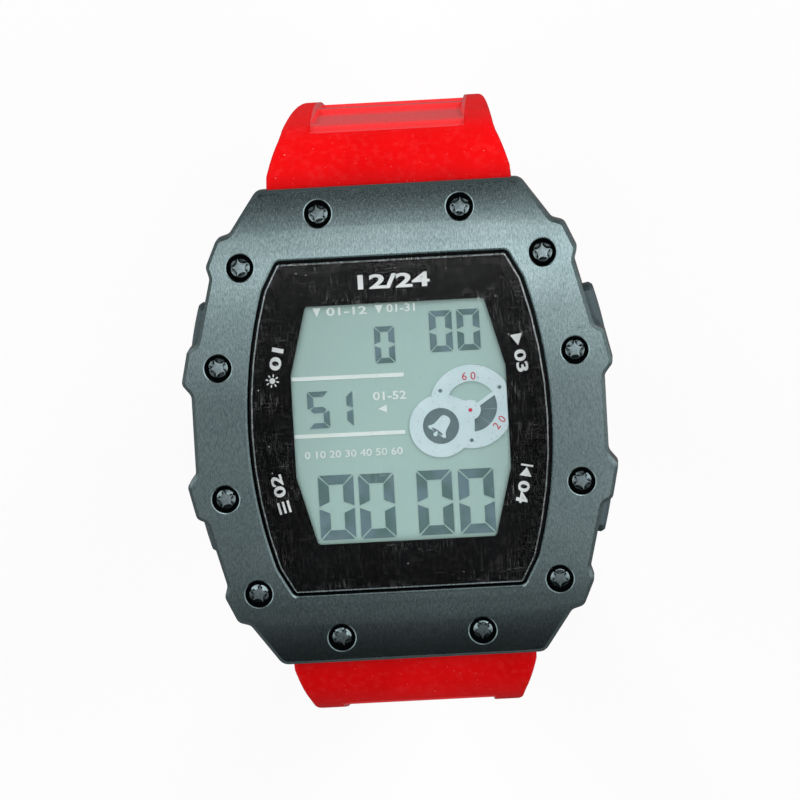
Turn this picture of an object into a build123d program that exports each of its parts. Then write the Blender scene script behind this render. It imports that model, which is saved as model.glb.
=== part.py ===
from build123d import *
import math
import os

# X runs across the dial, Y towards twelve o'clock and Z out of the glass.
# Zero is the centre of the case back's outer face.

# The movement sets the size of the watch: the cell, then the board, the display and the opening.
battery_radius = 10.0
board_side_margin = 0.8
board_end_margin = 3.8
lcd_side_reach = 0.5
lcd_end_inset = 0.9
opening_side_margin = 4.12
opening_end_margin = 4.25
board_half_width = battery_radius + board_side_margin
board_half_length = battery_radius + board_end_margin
lcd_half_width = board_half_width + lcd_side_reach
lcd_half_length = board_half_length - lcd_end_inset

# The glass opening: short ends, slanted corners and bowed sides.
opening_half_width = lcd_half_width + opening_side_margin
opening_half_length = lcd_half_length + opening_end_margin
opening_end_share = 0.762
opening_shoulder_shares = (0.8625, 0.8338)
opening_corner_radius = 0.7
opening_shoulder_radius = 3.0

# The window in the mask, as shares of the display's half sizes.
window_end_shares = (0.805, 0.946)
window_kink_shares = (0.969, 0.403)
window_corner_radius = 0.4

# The bezel round the opening. Its outline runs from the corner at twelve o'clock down to the middle
# of the side: each point is a share of the half width and of the half length.
side_wall = 6.48
end_wall = 7.15
case_half_width = opening_half_width + side_wall
case_half_length = opening_half_length + end_wall
outline_shares = [
    (0.612, 1.000),
    (0.749, 0.823),
    (0.806, 0.807),
    (0.861, 0.695),
    (0.845, 0.646),
    (0.920, 0.374),
    (0.966, 0.354),
    (1.000, 0.214),
    (0.957, 0.165),
]
outline_corner_radius = 0.8
outline_radius_shares = [1.5, 1.0, 1.1, 1.1, 1.2, 1.0, 0.9, 0.9, 1.2]

# Heights of the case.
back_thickness = 1.2
back_proud = 0.4
bezel_base = 7.7
bezel_end_height = 2.1
crown_drop = 2.8
crown_height = bezel_base + bezel_end_height + crown_drop
crystal_thickness = 1.8
crystal_bevel = 0.35
bezel_edge_chamfer = 0.35
bezel_inner_chamfer = 0.2

# Clearances between fixed pieces, and between pieces that run on each other.
seat_gap = 0.1
run_gap = 0.05
overrun = 1.0

# The housing under the bezel.
housing_inset = 0.6
ledge_width = 1.2
gasket_thickness = 0.2
back_gasket_width = 0.6
back_gasket_height = 0.6
back_side_margin = 1.38
back_end_margin = 1.05
back_half_width = opening_half_width + back_side_margin
back_half_length = opening_half_length + back_end_margin
back_corner_radius = 5.0

# The strap joint at each end: knuckle, lugs and spring bar.
hinge_stand_off = 4.65
hinge_height = 4.1
knuckle_radius = 2.9
knuckle_back_gap = 0.2
knuckle_side_gap = 0.2
root_half_width = 12.5
lug_inset = 0.1
lug_width = 3.7
stop_lip_length = 2.0
hinge_reach = opening_half_length + hinge_stand_off
knuckle_top = hinge_height + knuckle_radius
knuckle_bottom = hinge_height - knuckle_radius
housing_half_length = hinge_reach - knuckle_radius - knuckle_back_gap
lug_outer = root_half_width - lug_inset
knuckle_half_width = lug_outer - lug_width - knuckle_side_gap
stop_lip_reach = hinge_reach + stop_lip_length
bar_radius = 0.9
bar_tip_radius = 0.55
bar_tip_length = 1.2
bar_flange_radius = 1.2
bar_flange_width = 0.5

# Screws in the bezel, and the plate screws of the case back.
corner_screw_inset = (6.55, 7.6)
side_screw_inset = 3.8
side_screw_spacing = 6.7
end_screw_inset = 2.6
end_screw_spacing = 7.2
screw_places = [
    (case_half_width - corner_screw_inset[0], case_half_length - corner_screw_inset[1]),
    (case_half_width - side_screw_inset, side_screw_spacing),
]
end_screw_place = (end_screw_spacing, case_half_length - end_screw_inset)
screw_head_radius = 1.0
screw_head_height = 0.25
screw_star_height = 0.2
screw_star_points = 5
screw_star_inner_share = 0.5
screw_star_outer_share = 0.86
screw_recess_radius = 1.38
screw_recess_depth = 0.6
screw_shank_radius = 0.6
screw_length = 5.0
screw_angle_step = 31.0
end_screw_length = 1.6
back_screw_inset = (3.3, 2.9)
back_screw_place = (back_half_width - back_screw_inset[0], back_half_length - back_screw_inset[1])
back_screw_head_radius = 1.1
back_screw_head_height = 0.5
back_screw_length = 4.0
back_screw_slot = 0.3
thread_gap = 0.02

# Pushers: a long pad on a stem, square to the flank of the case.
pusher_inset = 0.95
pusher_spacing = 9.05
pusher_place = (case_half_width - pusher_inset, pusher_spacing)
pusher_height = 4.7
pusher_angle = 11.0
pusher_names = {"light": (-1, 1), "mode": (-1, -1), "start": (1, 1), "reset": (1, -1)}
pad_half_length = 3.9
pad_half_height = 1.7
pad_corner_radius = 0.9
pad_depth = 2.0
pad_edge_chamfer = 0.3
pad_crown_radius = 38.0
pad_gap = 0.12
pusher_travel = 0.6
stop_margin = 0.2
stem_radius = 0.8
stem_from_board = 1.15
stem_length = pusher_place[0] - pad_depth - board_half_width - stem_from_board
clip_radius = 1.5
clip_thickness = 0.25
clip_groove_radius = 0.55
clip_from_end = 1.0
seal_outer_radius = 1.35
seal_width = 0.7
seal_from_pad = 2.9

# The module.
lcd_thickness = 1.2
lcd_base = 8.0
mask_thickness = 0.25
frame_base = 1.7
board_thickness = 0.8
board_base = 5.0
board_corner_radius = 1.0
guide_side_inset = 2.1
guide_top_inset = 3.1
guide_low_inset = 3.9
guide_half_width = lcd_half_width - guide_side_inset
guide_top_reach = lcd_half_length - guide_top_inset
guide_low_reach = lcd_half_length - guide_low_inset
guide_thickness = 1.0
led_size = (1.6, 0.8, 1.4)
zebra_side_inset = 2.3
zebra_end_inset = 1.3
zebra_width = 1.2
zebra_half_length = lcd_half_width - zebra_side_inset
zebra_place = lcd_half_length - zebra_end_inset
battery_thickness = 2.5
battery_end_gap = 0.4
battery_offset = board_half_length - battery_radius - battery_end_gap
battery_rim = 0.4
clamp_thickness = 0.25
clamp_width = 5.0
clamp_side_gap = 0.3
chip_radius = 3.2
chip_thickness = 0.9
chip_bevel_share = 0.8
chip_place = 3.0
quartz_radius = 0.95
quartz_length = 6.0
quartz_inset = (2.6, 3.8)
buzzer_inset = 2.92
buzzer_radius = opening_half_width - buzzer_inset
buzzer_thickness = 0.3
contact_inset = (3.0, 4.6)
contact_radius = 0.35
contact_tip_radius = 0.2
contact_tip_length = 1.1
leaf_thickness = 0.15
leaf_reach = 0.4
leaf_spacing = 7.25
leaf_half_width = 1.2
leaf_foot = 1.2
leaf_drop = 1.5
notch_overlap = 0.1
notch_half_width = 2.1

# The strap's side view, in turns measured from straight up: a flat top, the bend over the end of the
# case and a long shallow arc down the flank. The short half then curls in to a straight end, and the
# long half runs straight down to the corner of its foot.
strap_thickness = 3.0
strap_flat = 1.9
bend_radius = 6.5
bend_angle = 80
bend_inner_radius = 2.6
flank_radius = 84.0
flank_angle = 100
curl_radius = 28.0
curl_angle = 140
end_run = 12.0
foot_clearance = 3.0
foot_corner_radius = 17.5
foot_angle = 180

# Its half widths, each held at a place down the flank from the hinge, and rounded between them.
shoulder_half_width = 11.0
shoulder_place = 5.5
tail_half_width = 9.0
tail_place = 28.0
taper_radius = 8.0

# The flat tail of the long half, with its row of holes.
tail_length = 28.0
tail_tip_radius = 9.6
strap_hole_radius = 1.1
strap_hole_pitch = 6.5
strap_hole_first = 9.0
strap_hole_count = 7

# The recessed panel on the outside of each half, with its cross ribs, by places down the flank.
panel_starts = 5.8
panel_half_width = 8.15
panel_narrows = 12.0
panel_waist = 7.5
panel_ends = 27.5
panel_corner_radius = 0.8
panel_depth = 0.75
rib_first = 2.0
rib_height = 0.45
rib_width = 1.2
rib_pitch = 8.0

# Buckle, tongue and keeper on the twelve o'clock half.
buckle_bar_radius = 0.75
strap_eye_radius = 1.9
buckle_half_width = 10.9
buckle_arm = 1.7
buckle_thickness = 2.2
buckle_length = 9.3
buckle_end_bar = 2.4
buckle_corner_radius = 0.5
buckle_edge_chamfer = 0.4
tongue_half_width = 1.1
tongue_eye_radius = 1.6
tongue_thickness = 1.1
tongue_slot_gap = 0.45
tongue_slot_length = 7.0
tongue_notch_depth = 0.6
keeper_wall = 1.1
keeper_height = 5.0
keeper_side_gap = 0.5
keeper_room = 0.5
keeper_place = 5.0
keeper_gap = 0.3
keeper_edge_chamfer = 0.3

crown_radius = (case_half_length**2 + crown_drop**2) / (2 * crown_drop)
housing_base = back_proud
module_half_gap = ledge_width + seat_gap


def on_arc(centre, radius, turn):
    """A place in the strap's side view, a radius away from a centre at a turn from straight up."""
    angle = math.radians(turn)
    return (centre[0] + radius * math.sin(angle), centre[1] + radius * math.cos(angle))


def onwards(place, turn, length):
    """A place further along the strap, where its outer face stands at a turn."""
    return on_arc(place, length, turn + 90)


bend_centre = (hinge_reach + strap_flat, knuckle_top - bend_radius)
flank_centre = on_arc(bend_centre, bend_radius - flank_radius, bend_angle)
flank_end = on_arc(flank_centre, flank_radius, flank_angle)
strap_reach = flank_centre[0] + flank_radius
curl_centre = on_arc(flank_centre, flank_radius - curl_radius, flank_angle)
curl_end = on_arc(curl_centre, curl_radius, curl_angle)
end_run_end = onwards(curl_end, curl_angle, end_run)
bar_height = on_arc(end_run_end, -strap_thickness / 2, curl_angle)[1]
stand_height = buckle_length + foot_clearance + strap_thickness - bar_height
foot_centre_height = foot_corner_radius - stand_height
foot_start_height = on_arc((0, foot_centre_height), foot_corner_radius, flank_angle)[1]
long_run = (flank_end[1] - foot_start_height) / math.sin(math.radians(flank_angle))
foot_start = onwards(flank_end, flank_angle, long_run)
foot_centre = on_arc(foot_start, -foot_corner_radius, flank_angle)


def four_quadrants(points):
    """One quadrant's points, from the end of the case down its side, as a closed loop."""
    lower_right = [(x, -y) for x, y in reversed(points)]
    lower_left = [(-x, -y) for x, y in points]
    upper_left = [(-x, y) for x, y in reversed(points)]
    return points + lower_right + lower_left + upper_left


def scaled(shares, half_width, half_length):
    return (shares[0] * half_width, shares[1] * half_length)


def case_outline():
    points = [scaled(shares, case_half_width, case_half_length) for shares in outline_shares]
    radii = [share * outline_corner_radius for share in outline_radius_shares]
    loop = FilletPolyline(*four_quadrants(points), radius=(radii + radii[::-1]) * 2, close=True)
    return make_face(loop)


def opening_outline(inset=0):
    """The glass opening, or the same shape drawn in by an inset."""
    end_x, end_y = opening_end_share * opening_half_width, opening_half_length
    side_x, side_y = scaled(opening_shoulder_shares, opening_half_width, opening_half_length)
    right = ThreePointArc((side_x, side_y), (opening_half_width, 0), (side_x, -side_y))
    left = ThreePointArc((-side_x, -side_y), (-opening_half_width, 0), (-side_x, side_y))
    top = Polyline((-side_x, side_y), (-end_x, end_y), (end_x, end_y), (side_x, side_y))
    bottom = Polyline((side_x, -side_y), (end_x, -end_y), (-end_x, -end_y), (-side_x, -side_y))
    face = make_face([top, right, bottom, left])
    halfway = (end_y + side_y) / 2
    ends = [v for v in face.vertices() if abs(v.Y) > halfway]
    face = fillet(ends, opening_corner_radius)
    shoulders = [v for v in face.vertices() if abs(v.Y) < halfway]
    face = fillet(shoulders, opening_shoulder_radius)
    if inset:
        face = offset(face, amount=-inset)
    return face


def slab(face, bottom, top):
    """A flat outline raised between two heights."""
    return extrude(Pos(0, 0, bottom) * face, amount=top - bottom)


def across(face, half_width):
    """A profile drawn with Y across the page and Z up it, run out both ways along X."""
    return extrude(Plane.YZ * face, amount=half_width, both=True)


def crown_at(y, depth=0):
    """Height of the crown, or of a surface at a depth under it, at a distance from the middle."""
    return crown_height - crown_radius + math.sqrt((crown_radius - depth) ** 2 - y**2)


def under_crown(depth=0):
    """All that lies under the cylinder of the crown, taken down by a depth."""
    reach = case_half_length + overrun
    edge = crown_at(reach, depth)
    arc = ThreePointArc((-reach, edge), (0, crown_at(0, depth)), (reach, edge))
    base = Polyline((reach, edge), (reach, -overrun), (-reach, -overrun), (-reach, edge))
    return across(make_face([arc, base]), case_half_width + overrun)


def each_corner(places):
    """A place in one quadrant, and its mirror images in the other three."""
    return [(i * x, j * y) for x, y in places for i in (1, -1) for j in (1, -1)]


def pusher_frame(side, end):
    """The middle of a pad's outer face, with X pointing out of the case."""
    x, y = pusher_place
    turn = end * pusher_angle if side > 0 else 180 - end * pusher_angle
    return Pos(side * x, end * y, pusher_height) * Rot(0, 0, turn)


def rod(radius, start, end):
    """A round bar along X between two places."""
    return extrude(Plane.YZ.offset(start) * Circle(radius), amount=end - start)


def upright(radius, height):
    """A round bar standing on zero."""
    return Cylinder(radius, height, align=(Align.CENTER, Align.CENTER, Align.MIN))


def bezel():
    solid = slab(case_outline(), bezel_base, crown_height + overrun) & under_crown()
    top = solid.faces().sort_by(Axis.Z)[-1]
    solid = chamfer(top.edges(), bezel_edge_chamfer)
    solid -= slab(opening_outline(), 0, crown_height + overrun)
    top = solid.faces().sort_by(Axis.Z)[-1]
    inner = top.inner_wires()[0].edges()
    solid = chamfer(inner, bezel_inner_chamfer)
    for x, y in each_corner(screw_places + [end_screw_place]):
        floor = crown_at(y) - screw_recess_depth
        solid -= Pos(x, y, floor) * upright(screw_recess_radius, crown_height)
    for x, y in each_corner(screw_places):
        solid -= Pos(x, y, bezel_base) * Cylinder(screw_shank_radius + seat_gap, crown_height)
    for x, y in each_corner([end_screw_place]):
        floor = crown_at(y) - screw_recess_depth
        depth = end_screw_length + seat_gap
        solid -= Pos(x, y, floor - depth) * upright(screw_shank_radius + thread_gap, depth)
    return solid


def star_screw(length):
    """A screw with a raised five-point star on its head, seated at zero and pointing down."""
    shank = Pos(0, 0, -length) * upright(screw_shank_radius, length)
    head = upright(screw_head_radius, screw_head_height)
    points = []
    for i in range(2 * screw_star_points):
        share = screw_star_inner_share if i % 2 else screw_star_outer_share
        radius = share * screw_head_radius
        angle = math.pi * i / screw_star_points
        points.append((radius * math.cos(angle), radius * math.sin(angle)))
    star = make_face(Polyline(*points, close=True))
    return shank + head + slab(star, screw_head_height, screw_head_height + screw_star_height)


def screw_group(places, length):
    screw = star_screw(length)
    solids = []
    for i, (x, y) in enumerate(each_corner(places)):
        seat = crown_at(y) - screw_recess_depth
        solids.append(Pos(x, y, seat) * Rot(0, 0, i * screw_angle_step) * screw)
    return Compound(solids)


def crystal():
    blank = slab(opening_outline(seat_gap), bezel_base, crown_height + overrun) & under_crown()
    top = blank.faces().sort_by(Axis.Z)[-1]
    blank = chamfer(top.edges(), crystal_bevel)
    return blank - under_crown(crystal_thickness)


def crystal_gasket():
    ring = slab(opening_outline(seat_gap), bezel_base, crown_height) & under_crown(crystal_thickness)
    ring -= slab(opening_outline(ledge_width), 0, crown_height)
    return ring - under_crown(crystal_thickness + gasket_thickness)


def lugs():
    """The two ears that hold a spring bar, with the stop lip under the strap, at twelve o'clock."""
    inner = knuckle_half_width + knuckle_side_gap
    root = housing_half_length - overrun
    block = Pos((root + hinge_reach) / 2, (housing_base + knuckle_top) / 2) * Rectangle(
        hinge_reach - root, knuckle_top - housing_base
    )
    profile = block + Pos(hinge_reach, hinge_height) * Circle(knuckle_radius)
    ear = extrude(Plane.YZ * profile, amount=lug_outer - inner)
    lip_top = knuckle_bottom - seat_gap
    lip = Pos(0, (back_half_length + seat_gap + stop_lip_reach) / 2, (housing_base + lip_top) / 2) * Box(
        2 * lug_outer, stop_lip_reach - back_half_length - seat_gap, lip_top - housing_base
    )
    pair = Pos(inner, 0, 0) * ear + Pos(-lug_outer, 0, 0) * ear + lip
    socket = inner + bar_tip_length
    return pair - Pos(0, hinge_reach, hinge_height) * rod(bar_tip_radius + run_gap, -socket, socket)


def back_outline(inset=0):
    return RectangleRounded(
        2 * (back_half_width - inset), 2 * (back_half_length - inset), back_corner_radius - inset
    )


def pusher_cut(side, end):
    """The pocket of one pad, the bore of its stem and the groove of its seal."""
    size = (2 * (pad_half_length + pad_gap), 2 * (pad_half_height + pad_gap))
    pocket_depth = pad_depth + pusher_travel + stop_margin
    outline = Plane.YZ * RectangleRounded(*size, pad_corner_radius + pad_gap)
    pocket = extrude(Pos(-pocket_depth, 0, 0) * outline, amount=pocket_depth + overrun)
    bore = rod(stem_radius + run_gap, -pad_depth - stem_length, 0)
    groove_end = -pad_depth - seal_from_pad
    groove = rod(seal_outer_radius + run_gap, groove_end - seal_width - run_gap, groove_end + run_gap)
    return pusher_frame(side, end) * (pocket + bore + groove)


def mid_case():
    outline = offset(case_outline(), amount=-housing_inset)
    body = slab(outline, housing_base, bezel_base)
    body &= Box(2 * case_half_width, 2 * housing_half_length, 2 * bezel_base)
    platform = slab(opening_outline(seat_gap), bezel_base - overrun, crown_height)
    body += platform & under_crown(crystal_thickness + gasket_thickness)
    ends = lugs()
    body += ends + Rot(0, 0, 180) * ends
    body -= slab(opening_outline(ledge_width), 0, crown_height)
    body -= slab(back_outline(-seat_gap), 0, back_thickness)
    groove = opening_outline(ledge_width - back_gasket_width - seat_gap)
    body -= slab(groove, back_thickness, back_thickness + back_gasket_height)
    for x, y in each_corner(screw_places):
        bottom = crown_at(y) - screw_recess_depth - screw_length - seat_gap
        body -= Pos(x, y, bottom) * upright(screw_shank_radius + thread_gap, crown_height)
    for x, y in each_corner([back_screw_place]):
        depth = 2 * (back_screw_length + seat_gap)
        body -= Pos(x, y, 0) * Cylinder(screw_shank_radius + thread_gap, depth)
    for side, end in pusher_names.values():
        body -= pusher_cut(side, end)
    return body


def back_gasket():
    """A flat ring round the cavity, between the housing and the back plate."""
    ring = opening_outline(ledge_width - back_gasket_width) - opening_outline(ledge_width)
    return slab(ring, back_thickness, back_thickness + back_gasket_height - run_gap)


def case_back():
    plate = slab(back_outline(), 0, back_thickness)
    rim = plate.faces().sort_by(Axis.Z)[0].edges()
    plate = chamfer(rim, bezel_inner_chamfer)
    for x, y in each_corner([back_screw_place]):
        head_depth = 2 * (back_screw_head_height + seat_gap)
        plate -= Pos(x, y, 0) * Cylinder(back_screw_head_radius + seat_gap, head_depth)
        plate -= Pos(x, y, 0) * Cylinder(screw_shank_radius + seat_gap, 2 * crown_height)
    return plate


def case_back_screws():
    """Slotted plate screws, their heads just under the face of the back."""
    head = upright(back_screw_head_radius, back_screw_head_height)
    head -= Box(2 * back_screw_head_radius, back_screw_slot, back_screw_slot)
    shank = upright(screw_shank_radius, back_screw_length - back_screw_head_height)
    screw = head + Pos(0, 0, back_screw_head_height) * shank
    solids = []
    for i, (x, y) in enumerate(each_corner([back_screw_place])):
        solids.append(Pos(x, y, seat_gap) * Rot(0, 0, i * screw_angle_step) * screw)
    return Compound(solids)


def pusher(side, end):
    """A pad with rounded corners, its stem, and the groove that takes the clip."""
    outline = Plane.YZ * RectangleRounded(2 * pad_half_length, 2 * pad_half_height, pad_corner_radius)
    pad = extrude(Pos(-pad_depth, 0, 0) * outline, amount=pad_depth)
    pad &= Pos(-pad_crown_radius, 0, 0) * Cylinder(pad_crown_radius, 2 * pusher_height)
    pad = chamfer(pad.faces().sort_by(Axis.X)[-1].edges(), pad_edge_chamfer)
    stem_end = -pad_depth - stem_length
    solid = pad + rod(stem_radius, stem_end, -pad_depth)
    clip_start = stem_end + clip_from_end
    ring = rod(stem_radius + overrun, clip_start, clip_start + clip_thickness)
    ring -= rod(clip_groove_radius, stem_end, -pad_depth)
    return pusher_frame(side, end) * (solid - ring)


def pusher_clip(side, end):
    """A horseshoe clip sprung into the groove, just inside the housing wall."""
    start = -pad_depth - stem_length + clip_from_end
    clip = rod(clip_radius, start, start + clip_thickness)
    clip -= rod(clip_groove_radius, start - overrun, 0)
    mouth = Pos(start, 0, -clip_radius) * Box(2 * clip_thickness, 2 * clip_groove_radius, 2 * clip_radius)
    return pusher_frame(side, end) * (clip - mouth)


def pusher_seals():
    """One rubber ring in the wall round each stem."""
    start = -pad_depth - seal_from_pad - seal_width
    ring = rod(seal_outer_radius, start, start + seal_width)
    ring -= rod(stem_radius + run_gap, start - overrun, 0)
    return Compound([pusher_frame(side, end) * ring for side, end in pusher_names.values()])


def window_outline():
    corners = (window_end_shares, window_kink_shares)
    points = four_quadrants([scaled(shares, lcd_half_width, lcd_half_length) for shares in corners])
    return make_face(FilletPolyline(*points, radius=window_corner_radius, close=True))


def dial_mask():
    base = lcd_base + lcd_thickness
    plate = slab(opening_outline(module_half_gap), base, base + mask_thickness)
    return plate - slab(window_outline(), 0, crown_height)


def lcd_panel():
    """Two glasses: the lower one reaches further at both ends, where its contacts are."""
    half = lcd_thickness / 2
    low = Pos(0, 0, lcd_base + half / 2) * Box(2 * lcd_half_width, 2 * lcd_half_length, half)
    top = Pos(0, 0, lcd_base + 3 * half / 2) * Box(
        2 * (lcd_half_width - seat_gap), 2 * (lcd_half_length - zebra_width / 2), half
    )
    return low + top


def module_frame():
    frame = slab(opening_outline(module_half_gap), frame_base, lcd_base + lcd_thickness)
    board_top = board_base + board_thickness
    lcd_room = Box(2 * (lcd_half_width + seat_gap), 2 * (lcd_half_length + seat_gap), crown_height)
    frame -= Pos(0, 0, lcd_base + crown_height / 2) * lcd_room
    board_room = Box(2 * (board_half_width + seat_gap), 2 * (board_half_length + seat_gap), 2 * board_top)
    frame -= board_room
    reach = guide_top_reach + 2 * seat_gap
    frame -= Box(2 * (guide_half_width + 2 * seat_gap), 2 * reach, 2 * crown_height)
    for y in (zebra_place, -zebra_place):
        slot = Box(2 * (zebra_half_length + seat_gap), zebra_width + 2 * seat_gap, 2 * crown_height)
        frame -= Pos(0, y, 0) * slot
    notch_inner = board_half_width - notch_overlap
    notch_depth = opening_half_width - notch_inner
    notch = Box(notch_depth, 2 * notch_half_width, 2 * clip_radius + 4 * seat_gap)
    for x, y in each_corner([(notch_inner + notch_depth / 2, leaf_spacing)]):
        frame -= Pos(x, y, pusher_height) * notch
    return frame


def circuit_board():
    outline = RectangleRounded(2 * board_half_width, 2 * board_half_length, board_corner_radius)
    return slab(outline, board_base, board_base + board_thickness)


def zebra_connectors():
    """Two rubber strips that carry the display's contacts down to the board."""
    board_top = board_base + board_thickness
    height = lcd_base - board_top
    strip = Box(2 * zebra_half_length, zebra_width, height)
    middle = board_top + height / 2
    return Compound([Pos(0, y, middle) * strip for y in (zebra_place, -zebra_place)])


def backlight_panel():
    length = guide_top_reach + guide_low_reach
    middle = (guide_top_reach - guide_low_reach) / 2
    top = lcd_base - seat_gap
    return Pos(0, middle, top - guide_thickness / 2) * Box(2 * guide_half_width, length, guide_thickness)


def backlight_led():
    width, depth, height = led_size
    board_top = board_base + board_thickness
    place = -guide_low_reach - seat_gap - depth / 2
    return Pos(0, place, board_top + height / 2) * Box(width, depth, height)


def battery():
    """A coin cell: the wide can above, the stepped cap below."""
    top = board_base - seat_gap
    rim_height = battery_thickness - battery_rim
    can = Cylinder(battery_radius, rim_height, align=(Align.CENTER, Align.CENTER, Align.MAX))
    can = chamfer(can.edges().group_by(Axis.Z)[0], battery_rim)
    cap_radius = battery_radius - 3 * battery_rim
    cap = Cylinder(cap_radius, battery_thickness, align=(Align.CENTER, Align.CENTER, Align.MAX))
    return Pos(0, -battery_offset, top) * (can + cap)


def battery_clamp():
    """A bent steel strap under the cell, its legs standing on the board's edges."""
    low = board_base - seat_gap - battery_thickness - clamp_thickness
    outer = battery_radius + clamp_side_gap + clamp_thickness
    height = board_base - low
    bar = Pos(0, 0, low + height / 2) * Box(2 * outer, clamp_width, height)
    inner = outer - clamp_thickness
    bar -= Pos(0, 0, low + clamp_thickness + height / 2) * Box(2 * inner, 2 * clamp_width, height)
    return Pos(0, -battery_offset, 0) * bar


def controller_chip():
    """The resin blob over the chip, on the board's face under the light guide."""
    blob = upright(chip_radius, chip_thickness)
    blob = chamfer(blob.edges().group_by(Axis.Z)[-1], chip_bevel_share * chip_thickness)
    return Pos(0, chip_place, board_base + board_thickness) * blob


def quartz_can():
    x = board_half_width - quartz_inset[0]
    y = board_half_length - quartz_inset[1]
    can = Rot(90, 0, 0) * Cylinder(quartz_radius, quartz_length)
    return Pos(-x, y, board_base - quartz_radius) * can


def piezo_buzzer():
    """A thin disc bonded to the inside of the back."""
    return Pos(0, 0, back_thickness) * upright(buzzer_radius, buzzer_thickness)


def buzzer_contact():
    """A spring probe from the board down to the buzzer: a barrel and its thinner tip."""
    bottom = back_thickness + buzzer_thickness
    room = board_base - bottom
    tip = upright(contact_tip_radius, room)
    barrel = Pos(0, 0, contact_tip_length) * upright(contact_radius, room - contact_tip_length)
    x = board_half_width - contact_inset[0]
    y = board_half_length - contact_inset[1]
    return Pos(x, y, bottom) * (tip + barrel)


def switch_contacts():
    """Bent leaves under the board's edges, in front of the pusher stems."""
    x, y = board_half_width + leaf_reach, leaf_spacing
    width = 2 * leaf_half_width
    foot = Box(leaf_foot, width, leaf_thickness, align=(Align.MAX, Align.CENTER, Align.MAX))
    blade = Box(leaf_thickness, width, leaf_drop, align=(Align.MIN, Align.CENTER, Align.MAX))
    leaf = Pos(x, y, board_base) * (foot + blade)
    right = [leaf, mirror(leaf, about=Plane.XZ)]
    return Compound(right + [mirror(solid, about=Plane.YZ) for solid in right])


def spring_bar():
    """The bar at twelve o'clock: tube, end flanges and the tips that spring into the lugs."""
    tip_end = knuckle_half_width + knuckle_side_gap + bar_tip_length - seat_gap
    flange_end = knuckle_half_width
    solid = rod(bar_tip_radius, -tip_end, tip_end)
    solid += rod(bar_radius, -flange_end, flange_end)
    for start in (-flange_end, flange_end - bar_flange_width):
        solid += rod(bar_flange_radius, start, start + bar_flange_width)
    return Pos(0, hinge_reach, hinge_height) * solid


def through_bend(face):
    """An outline run through the whole strap, square to its bend: X across, Y down from the hinge."""
    flank = Plane(origin=(0, hinge_reach, hinge_height), x_dir=(1, 0, 0), z_dir=(0, 1, 1))
    return extrude(flank * face, amount=2 * stand_height, both=True)


def mirrored(points):
    """The right side of an outline down the flank, and its left side back up."""
    return points + [(-x, place) for x, place in reversed(points)]


def taper_prism():
    """The width of the strap: full at the root, then the shoulder, then the tail."""
    points = mirrored(
        [
            (root_half_width, -2 * knuckle_radius),
            (root_half_width, 0),
            (shoulder_half_width, shoulder_place),
            (tail_half_width, tail_place),
            (tail_half_width, 2 * stand_height),
        ]
    )
    radii = [0, taper_radius, taper_radius, taper_radius, 0]
    return through_bend(make_face(FilletPolyline(*points, radius=radii + radii[::-1], close=True)))


def strap_arc(centre, radius, first, last):
    """An arc of the side view between two turns."""
    return CenterArc(centre, radius, 90 - last, last - first)


def curved_band(centre, outer, inner, first, last):
    """A strip of the side view between two radii and two turns."""
    start = Line(on_arc(centre, outer, first), on_arc(centre, inner, first))
    end = Line(on_arc(centre, outer, last), on_arc(centre, inner, last))
    arcs = [strap_arc(centre, outer, first, last), strap_arc(centre, inner, first, last)]
    return make_face([start, end] + arcs)


def straight_band(place, turn, length):
    """A straight strip of the strap, onwards from a place on its outer face."""
    far = onwards(place, turn, length)
    inner = (on_arc(far, -strap_thickness, turn), on_arc(place, -strap_thickness, turn))
    return make_face(Polyline(place, far, *inner, close=True))


def strap_root():
    """The side view that both halves share, at twelve o'clock: knuckle, bend and flank."""
    inner = flank_radius - strap_thickness
    inner_turn = math.degrees(math.acos((knuckle_bottom - flank_centre[1]) / inner))
    corner = on_arc(flank_centre, inner, inner_turn)
    outline = [
        Line((hinge_reach, knuckle_top), (bend_centre[0], knuckle_top)),
        strap_arc(bend_centre, bend_radius, 0, bend_angle),
        strap_arc(flank_centre, flank_radius, bend_angle, flank_angle),
        Line(flank_end, on_arc(flank_end, -strap_thickness, flank_angle)),
        strap_arc(flank_centre, inner, inner_turn, flank_angle),
        Line(corner, (hinge_reach, knuckle_bottom)),
        Line((hinge_reach, knuckle_bottom), (hinge_reach, knuckle_top)),
    ]
    face = make_face(outline)
    return fillet(face.vertices().sort_by_distance((*corner, 0))[0], bend_inner_radius)


def panel_band(start, end):
    """A skin of the strap's outer face between two depths, from the bend down the flank."""
    bend = curved_band(bend_centre, bend_radius - start, bend_radius - end, 0, bend_angle)
    flank = curved_band(flank_centre, flank_radius - start, flank_radius - end, bend_angle, flank_angle)
    return across(bend + flank, root_half_width)


def panel_prism():
    """The outline of the recessed panel."""
    points = mirrored(
        [(panel_half_width, panel_starts), (panel_waist, panel_narrows), (panel_waist, panel_ends)]
    )
    return through_bend(make_face(FilletPolyline(*points, radius=panel_corner_radius, close=True)))


def panel_cut():
    """What the recessed panel takes out of the strap, less the ribs that stay standing in it."""
    prism = panel_prism()
    deep = panel_band(-overrun, panel_depth) & prism
    standing = panel_band(panel_depth - rib_height, panel_depth) & prism
    place = panel_starts + rib_first
    while place + rib_width < panel_ends:
        bar = Pos(0, place + rib_width / 2) * Rectangle(2 * panel_half_width, rib_width)
        deep -= standing & through_bend(bar)
        place += rib_pitch
    return deep


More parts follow.
